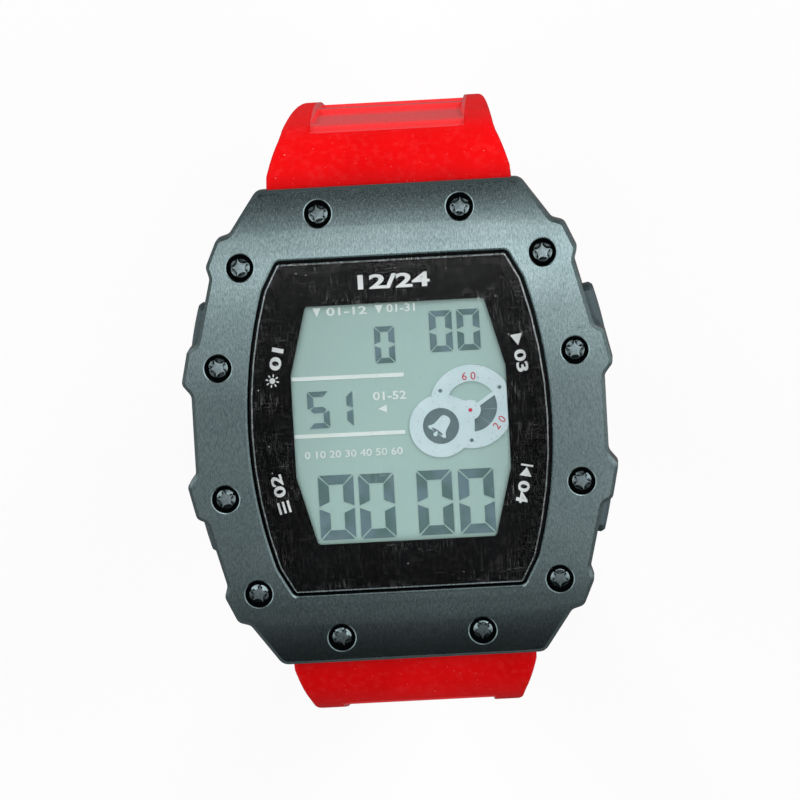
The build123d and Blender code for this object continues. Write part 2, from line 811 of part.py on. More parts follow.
def strap_upper():
    """One half down to the end of its flank, shaped, hinged and recessed."""
    wide = across(strap_root(), root_half_width) & taper_prism()
    shoulder = Pos(0, hinge_reach, hinge_height) * rod(
        knuckle_radius + 2 * knuckle_side_gap, -root_half_width - overrun, root_half_width + overrun
    )
    wide -= shoulder
    neck = across(strap_root(), knuckle_half_width)
    neck &= Pos(0, hinge_reach, 0) * Box(2 * root_half_width, 4 * knuckle_radius, 2 * stand_height)
    knuckle = rod(knuckle_radius, -knuckle_half_width, knuckle_half_width)
    solid = wide + neck + Pos(0, hinge_reach, hinge_height) * knuckle
    bore = rod(bar_radius + run_gap, -knuckle_half_width - overrun, knuckle_half_width + overrun)
    for start in (-knuckle_half_width, knuckle_half_width - bar_flange_width):
        room = (start - seat_gap, start + bar_flange_width + seat_gap)
        bore += rod(bar_flange_radius + run_gap, *room)
    return solid - Pos(0, hinge_reach, hinge_height) * bore - panel_cut()


def on_end_run(distance, depth):
    """A place on the short half's straight end, a depth under its outer face, Z up along the strap."""
    y, z = on_arc(onwards(curl_end, curl_angle, distance), -depth, curl_angle)
    return Pos(0, y, z) * Rot(90 - curl_angle, 0, 0)


def strap_12():
    """The short half, ending in an eye for the buckle bar, split in the middle for the tongue."""
    solid = strap_upper()
    inner = curl_radius - strap_thickness
    lower = curved_band(curl_centre, curl_radius, inner, flank_angle, curl_angle)
    lower += straight_band(curl_end, curl_angle, end_run)
    solid += across(lower, root_half_width) & taper_prism()
    eye = on_end_run(end_run, strap_thickness / 2)
    solid += eye * rod(strap_eye_radius, -tail_half_width, tail_half_width)
    solid -= eye * rod(buckle_bar_radius + run_gap, -root_half_width, root_half_width)
    slot_half = tongue_half_width + tongue_slot_gap
    slot = Box(2 * slot_half, 4 * strap_thickness, tongue_slot_length + 2 * strap_eye_radius)
    return solid - eye * Pos(0, 0, (tongue_slot_length - 2 * strap_eye_radius) / 2) * slot


def tail_outline():
    """The flat end of the long half in plan, on the twelve o'clock side, tip towards six."""
    start = foot_centre[0]
    tip = start - tail_length
    shoulder = tip + tail_tip_radius - math.sqrt(tail_tip_radius**2 - tail_half_width**2)
    sides = Polyline((tail_half_width, shoulder), (tail_half_width, start), (-tail_half_width, start))
    closing = Line((-tail_half_width, start), (-tail_half_width, shoulder))
    tip_arc = ThreePointArc((-tail_half_width, shoulder), (0, tip), (tail_half_width, shoulder))
    return make_face([sides, closing, tip_arc])


def strap_place(distance):
    """A place on the long half's outer face, a distance from the tip, with Z square through it."""
    if distance < tail_length:
        return Pos(0, foot_centre[0] - tail_length + distance, -stand_height)
    turn = foot_angle - math.degrees((distance - tail_length) / foot_corner_radius)
    y, z = on_arc(foot_centre, foot_corner_radius, turn)
    return Pos(0, y, z) * Rot(foot_angle - turn, 0, 0)


def strap_6():
    """The long half: down, round a wide corner and back under the case, with its row of holes."""
    solid = strap_upper()
    inner = foot_corner_radius - strap_thickness
    lower = curved_band(foot_centre, foot_corner_radius, inner, flank_angle, foot_angle)
    lower += straight_band(flank_end, flank_angle, long_run)
    solid += across(lower, root_half_width) & taper_prism()
    solid += slab(tail_outline(), -stand_height, strap_thickness - stand_height)
    for i in range(strap_hole_count):
        hole = Cylinder(strap_hole_radius, 4 * strap_thickness)
        solid -= strap_place(strap_hole_first + i * strap_hole_pitch) * hole
    return mirror(solid, about=Plane.XZ)


def buckle_axis():
    """The middle of the buckle bar, in the eye of the short half."""
    return Pos(on_end_run(end_run, strap_thickness / 2).position)


def buckle_frame():
    """A flat loop open at the strap: two arms bored for the bar, joined by the end bar."""
    height = buckle_length + strap_eye_radius
    plate = RectangleRounded(2 * buckle_half_width, height, buckle_arm)
    inner = 2 * (buckle_half_width - buckle_arm)
    room = Pos(0, buckle_end_bar) * RectangleRounded(inner, height, buckle_corner_radius)
    loop = extrude(Plane.XZ * (plate - room), amount=buckle_thickness / 2, both=True)
    faces = loop.faces().filter_by(Axis.Y)
    loop = chamfer([edge for face in faces for edge in face.edges()], buckle_edge_chamfer)
    loop = Pos(0, 0, strap_eye_radius - height / 2) * loop
    loop -= rod(buckle_bar_radius + run_gap, -buckle_half_width, buckle_half_width)
    notch_face = buckle_thickness / 2
    notch = Box(2 * (tongue_half_width + tongue_slot_gap), 2 * tongue_notch_depth, 2 * buckle_end_bar)
    loop -= Pos(0, notch_face, -buckle_length + buckle_end_bar) * notch
    return buckle_axis() * loop


def buckle_bar():
    reach = buckle_half_width - 3 * seat_gap
    return buckle_axis() * rod(buckle_bar_radius, -reach, reach)


def buckle_tongue():
    """A flat prong bent round the bar, its tip resting in the notch of the end bar."""
    eye = Circle(tongue_eye_radius)
    rest = buckle_thickness / 2 - tongue_notch_depth + seat_gap
    outer = rest + tongue_thickness
    tip = -buckle_length - seat_gap
    shank = make_face(
        Polyline(
            (tongue_eye_radius, 0),
            (outer, -buckle_length / 2),
            (outer, tip + tongue_thickness / 2),
            (rest + tongue_thickness / 2, tip),
            (rest, tip),
            (rest, -buckle_length / 2),
            (0, -tongue_eye_radius / 2),
            close=True,
        )
    )
    profile = eye + shank - Circle(buckle_bar_radius + run_gap)
    return buckle_axis() * across(profile, tongue_half_width)


def free_keeper():
    """A rubber loop with room for both halves of the strap, riding on the short one."""
    room = (2 * (tail_half_width + keeper_side_gap), 2 * strap_thickness + keeper_gap + keeper_room)
    size = (room[0] + 2 * keeper_wall, room[1] + 2 * keeper_wall)
    outline = RectangleRounded(*size, keeper_wall * 1.5) - RectangleRounded(*room, keeper_wall / 2)
    loop = extrude(outline, amount=keeper_height / 2, both=True)
    rims = [edge for face in loop.faces().filter_by(Axis.Z) for edge in face.edges()]
    loop = chamfer(rims, keeper_edge_chamfer)
    return on_end_run(keeper_place, (keeper_gap - keeper_room) / 2) * loop


def main_parts():
    parts = {
        "bezel": bezel(),
        "bezel_screws": screw_group(screw_places, screw_length),
        "end_screws": screw_group([end_screw_place], end_screw_length),
        "crystal": crystal(),
        "crystal_gasket": crystal_gasket(),
        "dial_mask": dial_mask(),
        "lcd_panel": lcd_panel(),
        "mid_case": mid_case(),
        "case_back": case_back(),
        "case_back_screws": case_back_screws(),
        "back_gasket": back_gasket(),
        "pusher_seals": pusher_seals(),
        "module_frame": module_frame(),
        "circuit_board": circuit_board(),
        "zebra_connectors": zebra_connectors(),
        "backlight_panel": backlight_panel(),
        "backlight_led": backlight_led(),
        "battery": battery(),
        "battery_clamp": battery_clamp(),
        "controller_chip": controller_chip(),
        "quartz_can": quartz_can(),
        "piezo_buzzer": piezo_buzzer(),
        "buzzer_contact": buzzer_contact(),
        "switch_contacts": switch_contacts(),
        "spring_bar_12": spring_bar(),
        "spring_bar_6": mirror(spring_bar(), about=Plane.XZ),
        "strap_12": strap_12(),
        "strap_6": strap_6(),
        "buckle_frame": buckle_frame(),
        "buckle_bar": buckle_bar(),
        "buckle_tongue": buckle_tongue(),
        "free_keeper": free_keeper(),
    }
    for name, (side, end) in pusher_names.items():
        parts["pusher_" + name] = pusher(side, end)
        parts["clip_" + name] = pusher_clip(side, end)
    return parts


os.makedirs("parts", exist_ok=True)
for node, shape in main_parts().items():
    export_step(shape, "parts/" + node + ".step")
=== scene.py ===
"""A digital watch, dressed in the order in which it is put together.

Lengths in the shapes are millimetres; the meshes are written in metres.
"""

import math

import bmesh
import bpy
import numpy as np
from mathutils import Matrix, Vector


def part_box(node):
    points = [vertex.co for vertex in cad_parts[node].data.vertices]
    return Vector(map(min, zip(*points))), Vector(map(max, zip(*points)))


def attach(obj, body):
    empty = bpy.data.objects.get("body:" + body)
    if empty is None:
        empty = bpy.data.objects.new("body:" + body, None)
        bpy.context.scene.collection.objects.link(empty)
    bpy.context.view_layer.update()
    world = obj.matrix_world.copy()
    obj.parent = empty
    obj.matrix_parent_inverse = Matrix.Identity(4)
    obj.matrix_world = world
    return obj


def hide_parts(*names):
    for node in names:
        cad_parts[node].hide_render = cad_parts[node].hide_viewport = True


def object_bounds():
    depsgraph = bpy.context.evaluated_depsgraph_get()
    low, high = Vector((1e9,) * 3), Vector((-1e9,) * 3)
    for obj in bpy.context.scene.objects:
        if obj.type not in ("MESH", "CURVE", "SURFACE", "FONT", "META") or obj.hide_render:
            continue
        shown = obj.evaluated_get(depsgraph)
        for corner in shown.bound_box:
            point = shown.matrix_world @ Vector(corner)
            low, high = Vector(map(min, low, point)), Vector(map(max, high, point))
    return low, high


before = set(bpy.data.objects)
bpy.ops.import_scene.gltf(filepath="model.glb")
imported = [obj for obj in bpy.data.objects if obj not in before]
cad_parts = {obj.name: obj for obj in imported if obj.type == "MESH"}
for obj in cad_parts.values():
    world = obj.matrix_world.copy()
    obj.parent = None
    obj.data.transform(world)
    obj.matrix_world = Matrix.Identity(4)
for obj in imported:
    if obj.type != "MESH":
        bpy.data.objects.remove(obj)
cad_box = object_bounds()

# The housing: the dark moulded middle of the watch, with its four pusher pockets and the ears
# that hold the strap. It is glass-filled nylon, moulded in one shot, so its skin is finely grained
# and a little uneven in gloss.


def paint(code):
    """A web colour as the linear red, green, blue and alpha of the shader."""
    shares = [int(code[i : i + 2], 16) / 255 for i in (0, 2, 4)]
    linear = [s / 12.92 if s <= 0.04045 else ((s + 0.055) / 1.055) ** 2.4 for s in shares]
    return (*linear, 1.0)


def arithmetic(operation):
    """The method behind one sign of arithmetic between signals."""
    return lambda self, other=0.0: self.math(operation, other)


class Signal:
    """The output of one node. Arithmetic on it adds Math nodes to its finish."""

    def __init__(self, finish, socket):
        self.finish = finish
        self.socket = socket

    def math(self, operation, other=0.0):
        """This signal and another term, joined by a Math node."""
        terms = {0: self, 1: other}
        return self.finish.node("ShaderNodeMath", {"operation": operation}, terms)

    __add__ = __radd__ = arithmetic("ADD")
    __sub__ = arithmetic("SUBTRACT")
    __mul__ = __rmul__ = arithmetic("MULTIPLY")
    __truediv__ = arithmetic("DIVIDE")
    __pow__ = arithmetic("POWER")
    __abs__ = arithmetic("ABSOLUTE")
    __gt__ = arithmetic("GREATER_THAN")
    __lt__ = arithmetic("LESS_THAN")

    def __rsub__(self, other):
        return self * -1.0 + other

    def clamped(self):
        """The signal held between nought and one."""
        return self.math("MAXIMUM", 0.0).math("MINIMUM", 1.0)


class Nodes:
    """A tree of nodes in the making."""

    def __init__(self, tree):
        self.tree = tree

    def plug(self, socket, value):
        """Lead a signal into a socket, or set the socket to a constant."""
        if isinstance(value, Signal):
            self.tree.links.new(value.socket, socket)
        else:
            socket.default_value = value

    def node(self, kind, settings=(), sockets=(), out=0):
        """Add a node: its settings first, then the value or signal of each socket."""
        made = self.tree.nodes.new(kind)
        for key, value in dict(settings).items():
            if key == "stops":
                ramp = made.color_ramp.elements
                while len(ramp) < len(value):
                    ramp.new(1.0)
                for element, (at, shade) in zip(ramp, value):
                    element.position = at
                    element.color = shade
            else:
                setattr(made, key, value)
        for key, value in dict(sockets).items():
            self.plug(made.inputs[key], value)
        return Signal(self, made.outputs[out])

    def axes(self, place):
        """The three numbers of a place."""
        apart = self.node("ShaderNodeSeparateXYZ", (), {0: place}).socket.node
        return [Signal(self, number) for number in apart.outputs]

    def between(self, signal, low, high):
        """A signal's middle part spread from nought to one."""
        return ((signal - low) / (high - low)).clamped()


class Finish(Nodes):
    """One finish of the watch: a shader, and the nodes that vary it from place to place."""

    def __init__(self, name, roughness=0.5, metallic=0.0, **steady):
        self.material = bpy.data.materials.new(name)
        self.material.use_nodes = True
        super().__init__(self.material.node_tree)
        self.shader = self.tree.nodes["Principled BSDF"]
        self.feed(roughness=roughness, metallic=metallic, **steady)
        metres = self.node("ShaderNodeTexCoord", out="Object")
        to_millimetres = {0: metres, "Scale": 1000.0}
        self.place = self.node("ShaderNodeVectorMath", {"operation": "SCALE"}, to_millimetres)

    def feed(self, **sockets):
        """Give values or signals to the sockets of the shader."""
        for key, value in sockets.items():
            socket = key.replace("_", " ").title().replace("Ior", "IOR")
            self.plug(self.shader.inputs[socket], value)

    def mix(self, factor, first, second):
        """A colour between two, each of them a signal or the code of a web colour."""
        first, second = [paint(end) if isinstance(end, str) else end for end in (first, second)]
        ends = {0: factor, 6: first, 7: second}
        return self.node("ShaderNodeMix", {"data_type": "RGBA"}, ends, out=2)

    def vector(self, operation, first, second, out=0):
        """Vector Math on two places. A distance comes out as a value."""
        return self.node("ShaderNodeVectorMath", {"operation": operation}, {0: first, 1: second}, out)

    def turning(self, middle, scale, detail):
        """The marks of a lathe: noise that changes only with the distance from a middle."""
        away = self.vector("DISTANCE", self.place, middle, out="Value")
        sockets = {"W": away, "Scale": scale, "Detail": detail}
        return self.node("ShaderNodeTexNoise", {"noise_dimensions": "1D"}, sockets)

    def noise(self, scale, detail=2.0, stretch=(1.0, 1.0, 1.0), distortion=0.0):
        """Cloudy noise with so many lumps to the millimetre, drawn out by a stretch."""
        drawn = self.vector("MULTIPLY", self.place, stretch)
        sockets = {"Vector": drawn, "Scale": scale, "Detail": detail, "Distortion": distortion}
        return self.node("ShaderNodeTexNoise", (), sockets)

    def flecks(self, scale, size, seed=0.0):
        """Small scattered dots: one where a cell's middle is nearer than a size, in some cells."""
        moved = self.vector("ADD", self.place, (seed, seed, seed))
        cells = {"Vector": moved, "Scale": scale}
        near = self.node("ShaderNodeTexVoronoi", (), cells, out="Distance")
        tint = self.node("ShaderNodeTexVoronoi", (), cells, out="Color")
        chosen = self.node("ShaderNodeSeparateColor", (), {0: tint}, out=0)
        return (near < size) * (chosen > 0.55)

    def relief(self, height, depth):
        """Raise the skin by a height signal, where one stands for a depth in millimetres."""
        sockets = {"Height": height, "Distance": depth / 1000, "Strength": 1.0}
        self.feed(normal=self.node("ShaderNodeBump", (), sockets))


def worked(name, dark, light, grain, rough, depth=0.004, stretch=(1.0, 1.0, 1.0), **steady):
    """A finish whose colour and gloss drift between two ends, over a fine grain of its own."""
    finish = Finish(name, **steady)
    drift = finish.between(finish.noise(0.35, 3.0), 0.3, 0.7)
    fine = finish.noise(grain, 3.0, stretch)
    blend = (drift * 0.55 + fine * 0.45).clamped()
    finish.feed(base_color=finish.mix(blend, dark, light))
    finish.feed(roughness=blend * (rough[1] - rough[0]) + rough[0])
    finish.relief(fine, depth)
    return finish


def dress(finish, *nodes):
    """Give CAD pieces whose shape stays their finish."""
    for node in nodes:
        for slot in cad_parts[node].material_slots:
            slot.material = finish.material


housing_nylon = worked("housing_nylon", "14191B", "20282A", 9.0, (0.42, 0.6), depth=0.008)
dress(housing_nylon, "mid_case")

# Pusher seals: four small O-rings that sit in grooves of the housing wall, round the stems.
# They are black nitrile rubber, lightly greased, with the back gasket of the same stock.

seal_rubber = worked(
    "seal_rubber", "08090A", "151718", 5.0, (0.35, 0.62), depth=0.006, specular_ior_level=0.12
)
dress(seal_rubber, "pusher_seals", "back_gasket")

# The pushers: four pads with crowned faces, turned and milled with their stems from the alloy
# of the bezel, bead-blasted and plated. Their edges are polished by thumbs.


def grained_metal(name, dark, light, rough, grain, metallic):
    """Blasted and plated metal: short upright brush marks crossed by a sparkle of fine pits."""
    finish = Finish(name, metallic=metallic)
    brush = finish.noise(7.0, 3.0, (1.6, 0.45, 1.0))
    sparkle = finish.noise(15.0, 2.0)
    cloud = finish.noise(0.18, 3.0)
    blend = (brush * 0.55 + sparkle * 0.65 + cloud * 0.35 - 0.28).clamped()
    finish.feed(base_color=finish.mix(blend, dark, light))
    finish.feed(roughness=(rough[0] + (rough[1] - rough[0]) * sparkle).clamped())
    finish.relief(brush * 0.5 + sparkle * 0.5, grain)
    return finish


pusher_plate = grained_metal("pusher_plate", "46545A", "7F9094", (0.26, 0.42), 0.003, 0.85)
dress(pusher_plate, "pusher_light", "pusher_mode", "pusher_start", "pusher_reset")

# Pusher clips: horseshoe springs pressed into a groove of each stem, inside the wall, so that
# the pad can't come out. They are blanked from blue-grey spring steel.


def drawn_metal(name, dark, light, grain, rough, stretch):
    """Bare metal with the fine lines of its rolling or drawing, which a stretch lays along it."""
    return worked(name, dark, light, grain, rough, depth=0.003, stretch=stretch, metallic=1.0)


clip_steel = drawn_metal("clip_steel", "6D757C", "A9B1B6", 12.0, (0.2, 0.38), (3.0, 1.0, 1.0))
dress(clip_steel, "clip_light", "clip_mode", "clip_start", "clip_reset")

# The module frame: the ivory moulding that carries the works, dropped in from the back.
# It is acetal, with a faint satin and the odd darker mould mark.

frame_acetal = worked("frame_acetal", "B9B6A6", "D8D5C6", 4.0, (0.38, 0.55), depth=0.005)
dress(frame_acetal, "module_frame")

# The circuit board: green solder mask over glass cloth, with copper tracks showing through it as
# paler lanes, etched and coated flat.

board_mask = Finish("board_mask", coat_weight=0.3)
thread = {"Vector": board_mask.place, "Scale": 1.3}
warp, weft = [board_mask.node("ShaderNodeTexWave", {"bands_direction": way}, thread) for way in "XY"]
lanes = board_mask.between(board_mask.noise(0.6, 0.0, (1.0, 0.25, 1.0)), 0.52, 0.55)
cloth = warp * 0.5 + weft * 0.5
board_green = board_mask.mix(lanes * 0.7 + cloth * 0.15, "14452F", "3E7E55")
board_mask.feed(base_color=board_green)
board_mask.feed(roughness=0.34 + cloth * 0.14)
board_mask.relief(cloth * 0.3 + lanes, 0.02)
dress(board_mask, "circuit_board")

# The chip: a bare die bonded to the board with fine wires, under a drop of black epoxy that was
# cured with a dull skin.

chip_resin = worked("chip_resin", "0E0F10", "232426", 3.0, (0.28, 0.5), depth=0.02)
dress(chip_resin, "controller_chip")

# The quartz can: a drawn tin of nickel silver with the tuning-fork crystal inside, soldered flat
# to the board. Draw lines run along it.

can_tin = drawn_metal("can_tin", "A7A8A3", "D3D4CF", 10.0, (0.16, 0.34), (4.0, 0.4, 4.0))
dress(can_tin, "quartz_can")

# The coin cell and its clamp: the cell's cup is bright nickel-plated steel with a fine turned
# finish, and the clamp is a strip of stainless spring steel hooked over it.

cell_nickel = Finish("cell_nickel", metallic=1.0)
cell_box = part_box("battery")
cell_middle = [500 * (low + high) for low, high in zip(*cell_box)]
turned = cell_nickel.turning(cell_middle, 9.0, 3.0)
tarnish = cell_nickel.noise(0.4, 4.0)
nickel = cell_nickel.mix(turned * 0.5 + tarnish * 0.5, "A9A8A2", "DCDBD6")
cell_nickel.feed(base_color=nickel)
cell_nickel.feed(roughness=0.16 + turned * 0.2)
cell_nickel.relief(turned, 0.004)
dress(cell_nickel, "battery")

spring_steel = drawn_metal("spring_steel", "8B9093", "C3C7C9", 14.0, (0.18, 0.36), (0.4, 4.0, 1.0))
dress(spring_steel, "battery_clamp", "spring_bar_12", "spring_bar_6")

# The buzzer: a brass disc behind the case back with a spring probe from the board, and the leaf
# contacts that the pusher stems press. All are gold-coloured alloys with a little tarnish.

buzzer_brass = worked("buzzer_brass", "8F6C2C", "CFA85A", 6.0, (0.2, 0.42), depth=0.004, metallic=1.0)
dress(buzzer_brass, "piezo_buzzer")
contact_gold = worked("contact_gold", "A67F34", "E0BE6C", 12.0, (0.16, 0.3), depth=0.002, metallic=1.0)
dress(contact_gold, "buzzer_contact", "switch_contacts")

# The backlight: a frosted acrylic light guide over the board, lit from one end by a small LED
# under a drop of clear silicone. The guide is dotted to spread the light.

guide_acrylic = Finish("guide_acrylic", roughness=0.4)
dots = guide_acrylic.flecks(2.4, 0.22)
guide_acrylic.feed(base_color=guide_acrylic.mix(dots, "C6D2CE", "EEF3F0"))
guide_acrylic.feed(roughness=0.25 + dots * 0.4)
guide_acrylic.relief(dots, 0.02)
dress(guide_acrylic, "backlight_panel")
led_silicone = worked("led_silicone", "C9B35E", "EAD98C", 3.0, (0.15, 0.3), depth=0.01)
dress(led_silicone, "backlight_led")

# Zebra strips: soft bars between the board and the glass of the display, stacked from hundreds of
# black conducting and pale insulating layers that run across them.

zebra_rubber = Finish("zebra_rubber", roughness=0.6)
layering = {"Vector": zebra_rubber.place, "Scale": 3.2, "Distortion": 0.3}
layers = zebra_rubber.node("ShaderNodeTexWave", {"bands_direction": "X"}, layering)
stripe = zebra_rubber.between(layers, 0.42, 0.58)
zebra_rubber.feed(base_color=zebra_rubber.mix(stripe, "15181A", "C9B9B4"))
zebra_rubber.feed(roughness=0.5 + zebra_rubber.noise(3.0) * 0.25)
zebra_rubber.relief(stripe, 0.01)
dress(zebra_rubber, "zebra_connectors")

# The display: two plates of glass with liquid crystal between them, over a grey-green reflector.
# The polariser film on top is matt. Painted shade darkens its colour towards the upper left, and a
# painted shadow of the mask darkens a band along the window's edges.


def loft(name, stacks, finish, body, closed=False, smooth=35.0):
    """Closed skins from stacks of rings, an array of (solids, rings, points, 3) in millimetres.

    Each ring is joined to the next one by a strip of quads. The first and the last ring get a flat
    lid each, or are joined to each other where the stack is closed on itself like a tyre.
    """
    stacks = np.asarray(stacks, dtype=float)
    solids, rings, points = stacks.shape[:3]
    index = np.arange(rings * points).reshape(rings, points)
    if closed:
        index = np.concatenate([index, index[:1]])
    beside = np.roll(index, -1, axis=1)
    quads = np.stack([index[:-1], beside[:-1], beside[1:], index[1:]], axis=-1).reshape(-1, 4)
    shift = np.arange(solids)[:, None, None] * rings * points
    faces = (quads + shift).reshape(-1, 4).tolist()
    if not closed:
        lids = np.stack([index[0, ::-1], index[-1]])
        faces += (lids + shift).reshape(-1, points).tolist()
    mesh = bpy.data.meshes.new(name)
    mesh.from_pydata((stacks / 1000).reshape(-1, 3), [], faces)
    mesh.validate()
    return piece(name, mesh, finish, body, smooth)


def piece(name, mesh, finish, body, smooth=35.0):
    """A mesh made a piece of the watch: doubles merged, faces turned outwards, edges crisp."""
    welded = bmesh.new()
    welded.from_mesh(mesh)
    bmesh.ops.remove_doubles(welded, verts=welded.verts, dist=1e-7)
    bmesh.ops.recalc_face_normals(welded, faces=welded.faces)
    welded.to_mesh(mesh)
    welded.free()
    mesh.shade_smooth()
    mesh.set_sharp_from_angle(angle=math.radians(smooth))
    mesh.materials.append(finish.material)
    made = bpy.data.objects.new(name, mesh)
    bpy.context.scene.collection.objects.link(made)
    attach(made, body)
    return made


def plates(outlines, bottom, top):
    """Flat outlines, (solids, points, 2), raised from one height to another as rings for a loft."""
    outlines = np.asarray(outlines, dtype=float)
    heights = np.array([bottom, top]).reshape(1, 2, 1, 1)
    rings = np.repeat(outlines[:, None], 2, axis=1)
    level = np.broadcast_to(heights, rings.shape[:3] + (1,))
    return np.concatenate([rings, level], axis=-1)


display_top = 9.2
window_half_width = 10.95
window_half_length = 12.2
slant_facing = (0.967, 0.2555)
slant_reach = 11.917

lcd_glass = Finish("lcd_glass", specular_ior_level=0.25)
lcd_x, lcd_y = lcd_glass.axes(lcd_glass.place)[:2]
lcd_cloud = lcd_glass.noise(0.12, 2.0)
# Painted shade: the reflector's colour darkens towards the upper left.
painted_corner_shade = lcd_glass.between(lcd_y * 0.035 - lcd_x * 0.03 + lcd_cloud * 0.4, 0.25, 0.95)
past_slant = abs(lcd_x) * slant_facing[0] + abs(lcd_y) * slant_facing[1] - slant_reach
past_window = past_slant.math("MAXIMUM", abs(lcd_y) - window_half_length)
# Painted shadow of the mask: a darker band along the window's edges.
painted_mask_shadow = lcd_glass.between(past_window, -1.0, 0.0) ** 2.0
lcd_colour = lcd_glass.mix(painted_corner_shade, "A4C2BD", "9DBAB5")
lcd_colour = lcd_glass.mix(painted_mask_shadow * 0.55, lcd_colour, "71887F")
lcd_glass.feed(base_color=lcd_colour)
lcd_glass.feed(roughness=0.42 + lcd_glass.noise(3.0) * 0.2)
lcd_glass.relief(lcd_glass.noise(14.0, 2.0), 0.002)
dress(lcd_glass, "lcd_panel")

# The digits: chamfered segments of dark crystal that stand a hair above the reflector, so each
# throws a soft shadow on it. Only the outer segments of a nought are on.

digit_dark = Finish("digit_dark", specular_ior_level=0.2)
digit_tone = digit_dark.between(digit_dark.noise(0.5, 1.0), 0.35, 0.65)
digit_dark.feed(base_color=digit_dark.mix(digit_tone, "567372", "67818A"))
digit_dark.feed(roughness=0.5 + digit_dark.noise(6.0) * 0.15)
digit_dark.relief(digit_dark.noise(16.0), 0.002)


def segments(middle, width, height, bar, gap, lit):
    """Six-cornered bars of one digit: four upright ones, the top, the bottom and the waist.

    Each bar is a rectangle with its ends cut at 45 degrees towards its neighbours, and a thin gap
    is left at every cut.
    """
    w, h, t, g = width / 2, height / 2, bar, gap / 2
    tip, under = 1.6 * g, h - t + g
    upright = np.array([(0, h - tip), (0, h - tip), (t, h - t - g), (t, 0.55 * t), (0, tip), (0, tip)])
    corner = (w - t, under)
    level = np.array([(-w + tip, h), (w - tip, h), corner, corner, (t - w, under), (t - w, under)])
    half_waist = np.array([(-w + t / 2, 0), (-w + t, t / 2), (w - t, t / 2)])
    left_top = upright + (-w, 0)
    bars = {
        "upper_left": left_top,
        "upper_right": left_top * (-1, 1),
        "lower_left": left_top * (1, -1),
        "lower_right": left_top * (-1, -1),
        "top": level,
        "bottom": level * (1, -1),
        "waist": np.vstack([half_waist, -half_waist]),
    }
    return [bars[key] + middle for key in lit]


def laid(name, outlines, low, high, finish):
    """Flat pieces on the display or the mask, from one height to another."""
    return loft(name, plates(outlines, low, high), finish, "case")


nought = ("upper_left", "upper_right", "lower_left", "lower_right", "top", "bottom")
five = ("upper_left", "waist", "lower_right", "top", "bottom")
one = ("upper_right", "lower_right")
digit_rows = [
    ([(-6.99, -8.45), (-2.87, -8.50), (3.05, -8.47), (7.29, -8.52)], 3.58, 6.62, 1.05, 0.16, nought),
    ([(4.57, 9.01), (7.38, 9.03)], 2.3, 4.2, 0.66, 0.12, nought),
    ([(-1.2, 7.92)], 2.03, 3.76, 0.6, 0.12, nought),
    ([(-8.3, 1.6)], 2.2, 3.76, 0.6, 0.12, five),
    ([(-5.9, 1.6)], 2.2, 3.76, 0.6, 0.12, one),
]
digit_bars = [bar for spots, *form in digit_rows for spot in spots for bar in segments(spot, *form)]
laid("display_digits", digit_bars, display_top + 0.02, display_top + 0.05, digit_dark)

# The white print of the display: two rules, pointers, a scale of tens and the ranges of the month,
# date and week numbers. It is screen-printed on the film in one pass of opaque ink.

ink_thickness = 0.02
print_white = worked("print_white", "CEDDD9", "E6F1EE", 6.0, (0.45, 0.6), depth=0.002)


def lettering(name, text, height, middle, turn, level, finish, weight=0.0, width=None):
    """Numerals of a height, centred on a place and turned, as a thin layer of ink on a level.

    The ink is as thick as the curve's extrusion, and a width squeezes the line to fit it.
    """
    curve = bpy.data.curves.new(name, "FONT")
    curve.body = text
    curve.extrude = ink_thickness
    curve.resolution_u = 3
    curve.offset = weight
    shaped = bpy.data.objects.new(name, curve)
    bpy.context.scene.collection.objects.link(shaped)
    seen_now = bpy.context.evaluated_depsgraph_get()
    mesh = bpy.data.meshes.new_from_object(shaped.evaluated_get(seen_now))
    bpy.data.objects.remove(shaped)
    corners = np.empty(3 * len(mesh.vertices))
    mesh.vertices.foreach_get("co", corners)
    corners = corners.reshape(-1, 3)
    low, high = corners.min(axis=0), corners.max(axis=0)
    scale = height / (high[1] - low[1])
    wide = scale if width is None else width / (high[0] - low[0])
    flat = (corners[:, :2] - (low[:2] + high[:2]) / 2) * (wide, scale)
    angle = math.radians(turn)
    across = np.array([math.cos(angle), math.sin(angle)])
    along = np.array([-math.sin(angle), math.cos(angle)])
    placed = flat[:, :1] * across + flat[:, 1:] * along + middle
    raised = level + ink_thickness * (corners[:, 2:] > 0)
    mesh.vertices.foreach_set("co", (np.hstack([placed, raised]) / 1000).ravel())
    return piece(name, mesh, finish, "case")


ink = display_top + 0.02
rules = [
    [(-10.9, 4.66), (0.55, 4.58), (0.55, 4.98), (-10.92, 5.06)],
    [(-10.94, -1.23), (0.38, -1.29), (0.38, -0.89), (-10.94, -0.83)],
]
laid("display_rules", rules, ink, ink + 0.03, print_white)
pointers = [
    [(-8.35, 12.0), (-7.93, 11.1), (-7.51, 12.0)],
    [(-2.02, 12.0), (-1.6, 11.1), (-1.18, 12.0)],
    [(-2.25, 1.4), (-1.35, 1.0), (-1.35, 1.8)],
]
laid("display_pointers", pointers, ink, ink + ink_thickness, print_white)
lines = [
    ("display_months", "01-12", 0.84, (-4.9, 11.57), 0.02, 4.1),
    ("display_dates", "01-31", 0.84, (0.62, 11.62), 0.02, 2.9),
    ("display_weeks", "01-52", 0.86, (-1.0, 2.72), 0.02, 3.4),
    ("display_tens", "0 10 20 30 40 50 60", 0.76, (-4.98, -2.98), 0.015, 10.0),
]
for name, text, height, middle, weight, width in lines:
    lettering(name, text, height, middle, 0, ink, print_white, weight=weight, width=width)

# The dial ornament: a three-armed ring and a smaller ring beside it, stamped from thin speckled
# card-white plate and laid under the edge of the mask. Its arms meet in a hub with a red pip.


def circle(middle, radius, count=96, start=0.0, end=360.0):
    """Places round a circle between two angles in degrees, anticlockwise from the right."""
    angle = np.radians(np.linspace(start, end, count, endpoint=abs(end - start) < 360))
    return np.stack([np.cos(angle), np.sin(angle)], axis=-1) * radius + middle


